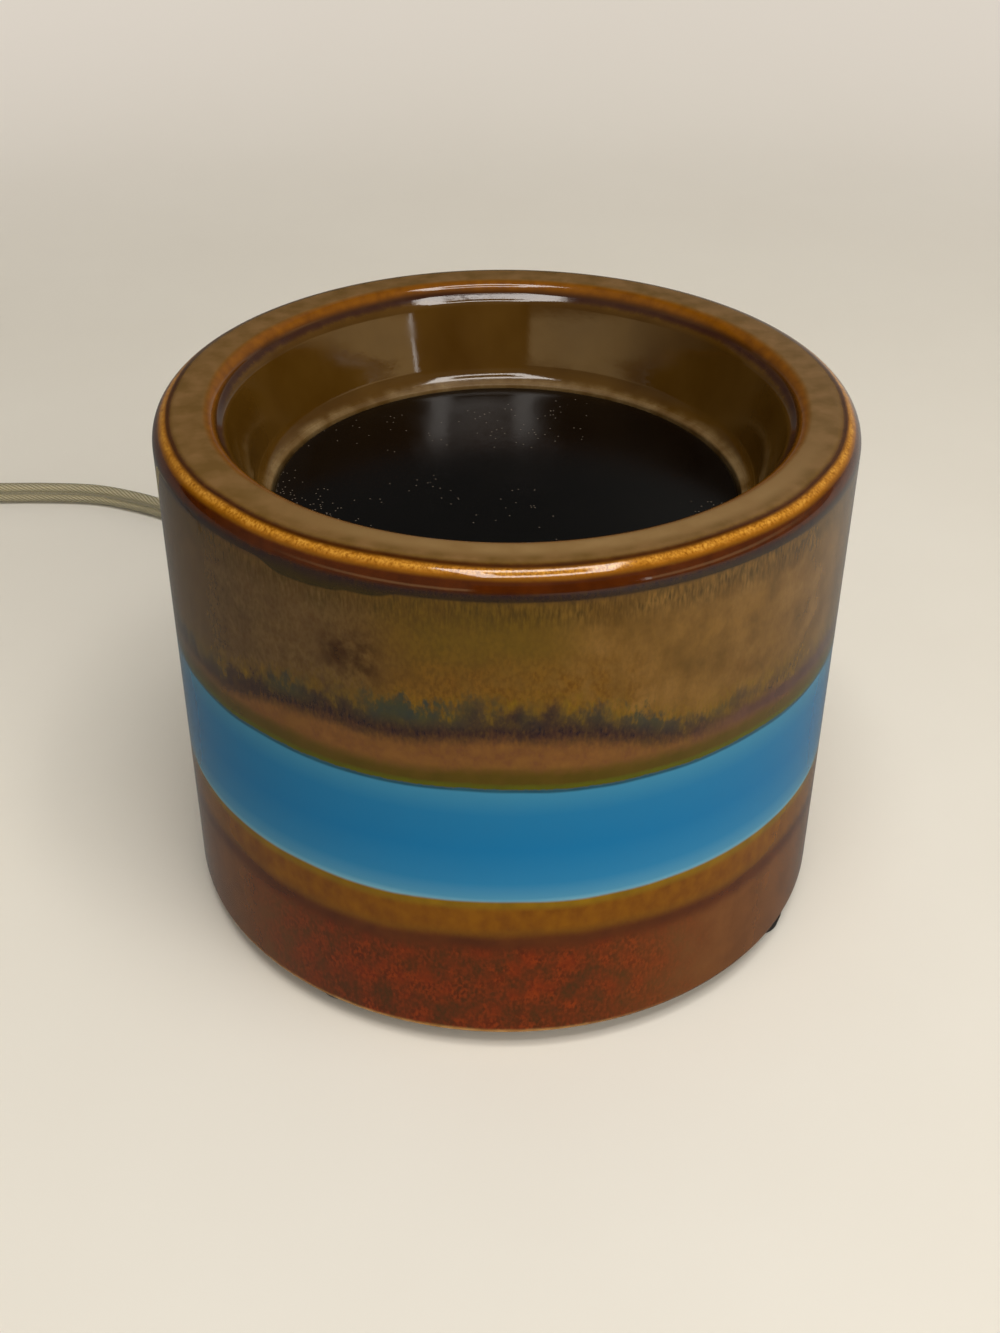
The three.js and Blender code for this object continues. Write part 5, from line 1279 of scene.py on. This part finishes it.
def plug_ring(x, half_wide, half_tall, square):
    """A ring round the plug at x: square 2 is an ellipse, more is boxier."""
    ring = []
    for i in range(RING_POINTS):
        c, s = math.cos(math.tau * i / RING_POINTS), math.sin(math.tau * i / RING_POINTS)
        y = half_wide * math.copysign(abs(c) ** (2 / square), c)
        z = half_tall * math.copysign(abs(s) ** (2 / square), s)
        ring.append(Vector((x, y, PLUG_MIDDLE + z)) * MM)
    return ring


plug_rings = [plug_ring(0, 3.2, 3.2, 2), plug_ring(0.4, CORD_END, CORD_END, 2)]
for start in CORD_END_GROOVES:
    for along, deep in ((0, 0), (0.3, CORD_END_DEEP), (1.1, CORD_END_DEEP), (1.4, 0)):
        x = start + along
        radius = CORD_END + x * CORD_END_TAPER - deep
        plug_rings.append(plug_ring(x, radius, radius, 2))
shoulder = ((10.6, 4.5, 4.5, 2), (11.0, 5.2, 4.6, 2.4), (11.4, 6.4, 4.9, 3))
plug_rings += [plug_ring(*sizes) for sizes in shoulder]
waist_handles = ((12, 7), (22, 10), (32, 10), (38, FACE_WIDE))
waist = interpolate_bezier(*(Vector((x, y, 0)) for x, y in waist_handles), 40)
for spot in waist + [Vector((FACE_FROM, FACE_WIDE, 0))]:
    swell = min(1, (spot.x - BODY_FROM) / BODY_SWELL)
    tall = BODY_TALL + (FACE_TALL - BODY_TALL) * swell * (2 - swell)
    for groove in GRIP_GROOVES:
        tall -= GRIP_DEEP * max(0, 1 - (abs(spot.x - groove) / GRIP_HALF) ** 4)
    plug_rings.append(plug_ring(spot.x, spot.y, tall, BOXY))
for i in range(1, 5):
    a = math.pi / 2 * i / 4
    inward, ahead = FACE_ROUND * (1 - math.cos(a)), FACE_ROUND * math.sin(a)
    plug_rings.append(plug_ring(FACE_FROM + ahead, FACE_WIDE - inward, FACE_TALL - inward, BOXY))
plug_moulding = new_piece("plug_moulding", *skin(plug_rings), milky, sharp=40)
plug_moulding.data.transform(plug_place)
print("plug faces:", len(plug_moulding.data.polygons))

# %% [markdown]
# ## Plug: the blades
# The blades are stamped brass strips with rounded corners, edges broken by the press and a hole
# near the tip. One is wider, so that the plug fits one way round. Each is four rings across its
# thickness, the outer two drawn in, and the hole is cut with a peg.

# %% Plug blades
BLADE_ROOT, BLADE_TIP, TAPER_FROM = 35, 59, 36
BLADE_APART, HOLE_AT, HOLE_RADIUS = 6.35, 54, 1.6
BLADE_HALF_THICK, BLADE_BROKEN = 0.75, 0.2
hole_points, hole_faces = peg(0, HOLE_RADIUS, -3, 3)
blades = []
for name, side, wide in (("blade_line", BLADE_APART, 6.35), ("blade_neutral", -BLADE_APART, 7.95)):
    half = wide / 2
    blade_corners = (
        (BLADE_ROOT, -half, 0), (BLADE_TIP, -half, 1.5),
        (BLADE_TIP, half, 1.5), (BLADE_ROOT, half, 0),
    )
    outline, _ = section(blade_corners, closed=True, widest=30, arc=15)
    rings = []
    flat = BLADE_HALF_THICK - BLADE_BROKEN
    for across, margin in (
        (-BLADE_HALF_THICK, BLADE_BROKEN), (-flat, 0), (flat, 0), (BLADE_HALF_THICK, BLADE_BROKEN),
    ):
        ring = []
        for p in outline[:-1]:
            taper = max(0, p.x - TAPER_FROM) / (BLADE_TIP - TAPER_FROM)
            level = PLUG_MIDDLE + p.y * (1 - margin / half)
            ring.append(Vector((p.x - margin * taper, side + across, level)) * MM)
        rings.append(ring)
    blade = new_piece(name, *skin(rings), plain_finishes["brass"], sharp=30)
    hole_place = Matrix.Translation(Vector((HOLE_AT, side, PLUG_MIDDLE)) * MM)
    through = hole_place @ Matrix.Rotation(math.pi / 2, 4, "X")
    worked(blade, [("DIFFERENCE", [through @ p for p in hole_points], hole_faces)], sharp=30)
    blade.data.transform(plug_place)
    blades.append(blade)
print("blade faces:", [len(blade.data.polygons) for blade in blades])

# %% [markdown]
# ## Strap
# A rubber strap holds the coil together. It is a flat band that goes once round the turns of cord
# and laps over itself on the top and the outer side, so its end shows. A closed ring would be
# easier, but it has no end, so the band's small profile is carried round the loop and a third of
# the way again, and lifted by its own thickness where it laps.

# %% Strap
STRAP_LAP, LAP_LIFT, LAP_STEPS = 0.32, 0.42, 6
STRAP_HALF, STRAP_LOW, STRAP_HIGH, STRAP_ROUND = 6.17, 0.55, 12.35, 1.8
STRAP_ANGLE = math.radians(55)  # where it sits on the coil
strap_corners = (
    (-STRAP_HALF, STRAP_LOW, STRAP_ROUND), (STRAP_HALF, STRAP_LOW, STRAP_ROUND),
    (STRAP_HALF, STRAP_HIGH, STRAP_ROUND), (-STRAP_HALF, STRAP_HIGH, STRAP_ROUND),
)
strap_profile = (  # height on the band and place across it
    (0.02, -2.9), (0.1, -3), (0.32, -3), (0.4, -2.9), (0.4, 2.9), (0.32, 3), (0.1, 3), (0.02, 2.9),
)
loop, _ = section(strap_corners, closed=True, widest=0.8, arc=15)
loop = loop[:-1]
top_inner = Vector((-4.5, STRAP_HIGH))
start = min(range(len(loop)), key=lambda i: (loop[i] - top_inner).length)
# From the top's inner end the band goes outwards, down the outer side, along the floor and up
# again.
band = [loop[(start - i) % len(loop)] for i in range(-1, round(len(loop) * (1 + STRAP_LAP)) + 1)]
strap_rings = []
for i, (back, here, ahead) in enumerate(zip(band, band[1:], band[2:])):
    along = (ahead - back).normalized()
    outward = Vector((-along.y, along.x))
    lap = min(1, max(0, (i - len(loop) + LAP_STEPS) / LAP_STEPS))
    ring = []
    for up, across in strap_profile:
        spot = here + outward * (up + LAP_LIFT * lap)
        ring.append(Vector((spot.x, across, spot.y)) * MM)
    strap_rings.append(ring)
strap = new_piece("coil_strap", *skin(strap_rings), rubber, sharp=40)
coil_radius = (COIL_OUTER + COIL_INNER) / 2
strap_side = Vector((math.cos(STRAP_ANGLE), math.sin(STRAP_ANGLE), 0))
strap_spot = COIL_MIDDLE.to_3d() + strap_side * coil_radius
strap.data.transform(Matrix.Translation(strap_spot) @ Matrix.Rotation(STRAP_ANGLE, 4, "Z"))
print("strap rings:", len(strap_rings))

# %% [markdown]
# ## Floor
# A plain pale sheet of paper lies under the warmer and sweeps up behind it, as in a product studio.
# Near the drum it is real paper and takes its shadow. With distance it turns, for the camera only,
# into one plain backdrop colour, so no horizon shows. In mirror images it is a dim glow instead of
# lit paper, a painted reflection that is brighter towards the right and less the higher it is,
# because a glossy glaze would show every fold of a sheet.

# %% Paper finish
FIBRE_SIZE = 60 * MM  # slow clouds in the sheet; its fibres are too fine to show
PAPER, BACKDROP = "#E6E2D8", "#DED5C9"
# Uncoated paper gives the eye a matt, nearly white surface with no shine.
paper, tree, shader, coords = new_finish(
    "paper_sweep", {"Roughness": 0.85, "Specular IOR Level": 0.0}
)
fibre = noise(tree, coords, FIBRE_SIZE, 4.0)
tone = mix(tree, fibre, PAPER, "#EBE8DF")
feed(shader, {"Base Color": tone})
facing = Matrix.Rotation(heading, 3, "Z")
aside = dot(tree, coords, facing @ Vector((1, 0, 0)))
# Painted reflection: in mirror images the paper glows brighter towards the right, where the light
# comes from.
glow = spread(tree, aside, (0.02, 0.25), (0.2, 0.6), eased=True)
above = add(tree, "ShaderNodeSeparateXYZ", {0: coords}).outputs["Z"]
dimmed = spread(tree, above, (0.02, 0.3), (1.0, 0.35))
mirror_glow = calc(tree, "MULTIPLY", glow, dimmed)
mirrored = add(tree, "ShaderNodeEmission", {"Color": linear(PAPER), "Strength": mirror_glow})
backdrop = add(tree, "ShaderNodeEmission", {"Color": linear(BACKDROP), "Strength": 1.0})
rays = add(tree, "ShaderNodeLightPath").outputs
away = add(tree, "ShaderNodeVectorMath", {0: coords}, operation="LENGTH").outputs["Value"]
far = spread(tree, away, (0.24, 0.7), eased=True)
seen_far = calc(tree, "MULTIPLY", far, rays["Is Camera Ray"])
lit = add(tree, "ShaderNodeMixShader", {0: seen_far, 1: shader, 2: backdrop})
shown = add(tree, "ShaderNodeMixShader", {0: rays["Is Glossy Ray"], 1: lit, 2: mirrored})
feed(tree.get_output_node("ALL"), {"Surface": shown})
print("paper nodes:", len(tree.nodes))

# %% Paper floor
SWEEP_FRONT, SWEEP_START, SWEEP_CURVE, SWEEP_TOP, SWEEP_HALF = -1.6, 0.42, 0.35, 1.4, 1.6  # metres
SWEEP_STEPS = 16
sweep_line = [(SWEEP_FRONT, 0.0), (SWEEP_START, 0.0)]
for i in range(1, SWEEP_STEPS + 1):
    a = math.pi / 2 * i / SWEEP_STEPS
    sweep_line.append((SWEEP_START + SWEEP_CURVE * math.sin(a), SWEEP_CURVE * (1 - math.cos(a))))
sweep_line.append((SWEEP_START + SWEEP_CURVE, SWEEP_TOP))
verts = [facing @ Vector((x, y, z)) for y, z in sweep_line for x in (-SWEEP_HALF, SWEEP_HALF)]
faces = [(2 * i, 2 * i + 1, 2 * i + 3, 2 * i + 2) for i in range(len(sweep_line) - 1)]
mesh = bpy.data.meshes.new("paper_floor")
mesh.from_pydata([tuple(v) for v in verts], [], faces)
mesh.shade_smooth()
mesh.materials.append(paper)
paper_floor = in_scene("paper_floor", mesh)
print("floor faces:", len(mesh.polygons))

# %% [markdown]
# ## Lamps
# Four light bars hang in a frame overhead. Their mirror images are the long highlights on the rim,
# in the cove of the well and on the plate, which one big lamp would spread into a blank white
# area. A soft cloth in front lights the side of the drum; it is kept out of mirror images, so the
# glaze stays deep. Power follows from one brightness per area, so a lamp can change its size and
# look the same.

# %% Lamps
FRAME_MIDDLE = Vector((0.02, -0.27, 0.80))
BAR_BRIGHT, CLOTH_BRIGHT = 10.5, 2.5


def soft_lamp(name, place, aim, wide, deep, radiance, tint):
    """A flat soft lamp of an even brightness, facing a point."""
    light = bpy.data.lights.new(name, "AREA")
    light.shape = "RECTANGLE"
    light.size, light.size_y = wide, deep
    light.energy = radiance * math.pi * wide * deep
    light.color = linear(tint)[:3]
    lamp = in_scene(name, light)
    aimed = (Vector(aim) - Vector(place)).to_track_quat("-Z", "Y").to_matrix().to_4x4()
    lamp.matrix_world = Matrix.Translation(place) @ aimed
    return lamp


for name, x, y, wide, deep in (
    ("front_bar", 0, -0.14, 0.45, 0.1),
    ("back_bar", 0, 0.14, 0.45, 0.1),
    ("left_bar", -0.18, 0, 0.09, 0.18),
    ("right_bar", 0.18, 0, 0.09, 0.18),
):
    place = FRAME_MIDDLE + Vector((x, y, 0))
    soft_lamp(name, place, place - Vector((0, 0, 1)), wide, deep, BAR_BRIGHT, "#FFFAF4")
front_cloth = soft_lamp(
    "front_cloth", (0.35, -1.1, 0.55), (0, 0, 0.05), 1.2, 1.0, CLOTH_BRIGHT, "#FFF8EE"
)
front_cloth.visible_glossy = False

# %% [markdown]
# ## Tent
# A white tent stands around it all. It lights every side evenly, and the camera sees only the
# plain backdrop colour. In mirror images it shows more: warm flaps in front at a low height, a
# dark opening between them with one lit hem, and a dim back. They give the glaze its soft bands
# and the thin upright line in the well, and keep the plate black. The masks come from the
# direction of a ray: how far it is off the front, and how high it points.

# %% Tent masks
FRONT_BEARING, OPENING_HALF = 89, 26  # degrees: clockwise from X, and to each side of the opening
tent_world = bpy.data.worlds.new("white_tent")
bpy.context.scene.world = tent_world
tent_world.use_nodes = True
tree = tent_world.node_tree
tree.nodes.clear()
direction = add(tree, "ShaderNodeTexCoord").outputs["Generated"]
axes = add(tree, "ShaderNodeSeparateXYZ", {0: direction}).outputs
depth, up = axes["Y"], axes["Z"]
bearing = calc(tree, "ARCTAN2", depth, axes["X"])
off_front = calc(tree, "ADD", bearing, math.radians(FRONT_BEARING))
off_middle = calc(tree, "ABSOLUTE", off_front)
past_hem = calc(tree, "SUBTRACT", off_front, math.radians(OPENING_HALF))
off_hem = calc(tree, "ABSOLUTE", past_hem)
tent_masks = {}
for name, value, start, end in (
    ("across", off_middle, math.radians(OPENING_HALF + 2), math.radians(OPENING_HALF - 2)),
    ("low", up, math.sin(math.radians(30)), math.sin(math.radians(26))),
    ("raised", up, math.sin(math.radians(3)), math.sin(math.radians(7))),
    ("topped", up, math.sin(math.radians(15)), math.sin(math.radians(11))),
    ("front", depth, 0.1, -0.7),
    ("behind", depth, 0.0, 0.5),
    ("hem", off_hem, math.radians(0.9), math.radians(0.4)),
):
    tent_masks[name] = spread(tree, value, (start, end), eased=True)
for name, first, second in (
    ("belt", "topped", "raised"),
    ("flaps", "front", "belt"),
    ("opening", "across", "low"),
    ("lit_hem", "hem", "belt"),
):
    tent_masks[name] = calc(tree, "MULTIPLY", tent_masks[first], tent_masks[second])
print("tent masks:", list(tent_masks))

# %% Tent
cloth = linear("#545049")
for name, shade in (("behind", "#100F0E"), ("flaps", "#F0D09A"), ("opening", "#38261F")):
    cloth = mix(tree, tent_masks[name], cloth, shade)
lights = {}
for name, shade, strength in (
    ("folds", cloth, 1.6),
    ("hem", linear("#FFFAF3"), 5.0),
    ("even", linear("#FFFAF3"), 0.26),
    ("plain", linear(BACKDROP), 1.0),
):
    lights[name] = add(tree, "ShaderNodeBackground", {"Color": shade, "Strength": strength})
rays = add(tree, "ShaderNodeLightPath").outputs
mirror_image = add(
    tree, "ShaderNodeMixShader", {0: tent_masks["lit_hem"], 1: lights["folds"], 2: lights["hem"]}
)
around = add(
    tree, "ShaderNodeMixShader", {0: rays["Is Glossy Ray"], 1: lights["even"], 2: mirror_image}
)
mixed = add(tree, "ShaderNodeMixShader", {0: rays["Is Camera Ray"], 1: around, 2: lights["plain"]})
add(tree, "ShaderNodeOutputWorld", {"Surface": mixed})
bpy.context.scene.view_settings.view_transform = "Standard"
print("tent nodes:", len(tree.nodes))

# %% [markdown]
# ## Riding and replacing
# Each piece rides on a body of the frame and stands for its plain solids. The rocker has a body of
# its own and all else rides on the warmer. The pieces that are put away beside the drum are kept
# out of mirror images, so that the glaze doesn't show them.

# %% Bodies and slots
for piece, body, slot, nodes in (
    (glazed_drum, "warmer", "glazed_stoneware", ("ceramic_body",)),
    (plate_face, "warmer", "black_enamel", ("hot_plate",)),
    (rubber_feet, "warmer", "black_rubber", FOOT_NODES),
    (grommet, "warmer", "black_rubber", ("cord_bushing",)),
    (pressed_cover, "warmer", "black_painted_steel", ("base_cover",)),
    (mains_cord, "warmer", "clear_pvc", ("supply_cord",)),
    (mains_wires, "warmer", "brass", ()),
    (lower_shell, "warmer", "milky_plastic", ("switch_base",)),
    (upper_shell, "warmer", "milky_plastic", ("switch_cover",)),
    (rocker_bar, "rocker", "white_plastic", ("switch_rocker",)),
    (spare_cord, "warmer", "clear_pvc", ("coil_lead_in", "cord_coil", "plug_lead")),
    (spare_wires, "warmer", "brass", ()),
    (plug_moulding, "warmer", "milky_plastic", ("plug_body",)),
    (blades[0], "warmer", "brass", ("plug_blade_line",)),
    (blades[1], "warmer", "brass", ("plug_blade_neutral",)),
    (strap, "warmer", "black_rubber", ("coil_tie",)),
):
    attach(piece, body)
    if nodes:
        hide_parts(*nodes)
put_away = [spare_cord, spare_wires, lower_shell, upper_shell, rocker_bar]
put_away += [plug_moulding, *blades, strap]
for piece in put_away:
    piece.visible_glossy = False
print("put away:", [piece.name for piece in put_away])

# %% [markdown]
# ## Cords
# A cord is soft. Two stretches are listed, one on each side of the switch, each with the path that
# it follows, its far end, how it lies and the pieces that hang on it, and the number of those pieces
# is printed.

# %% Cords
SWITCH_INSIDES = (
    "switch_screw_rear", "switch_screw_front", "contact_bridge",
    "contact_post_outer", "contact_post_middle",
)
switch_pieces = [lower_shell, upper_shell, rocker_bar]
switch_pieces += [frame["nodes"][name] for name in SWITCH_INSIDES]
for cord, path, far_end, lay, pieces in (
    (mains_cord, mains_path, "fitting", "loose", [mains_wires, *switch_pieces]),
    (spare_cord, spare_path, "plug", "coiled", [spare_wires, plug_moulding, *blades, strap]),
):
    print(cord.name, "carries", len(pieces), "pieces")
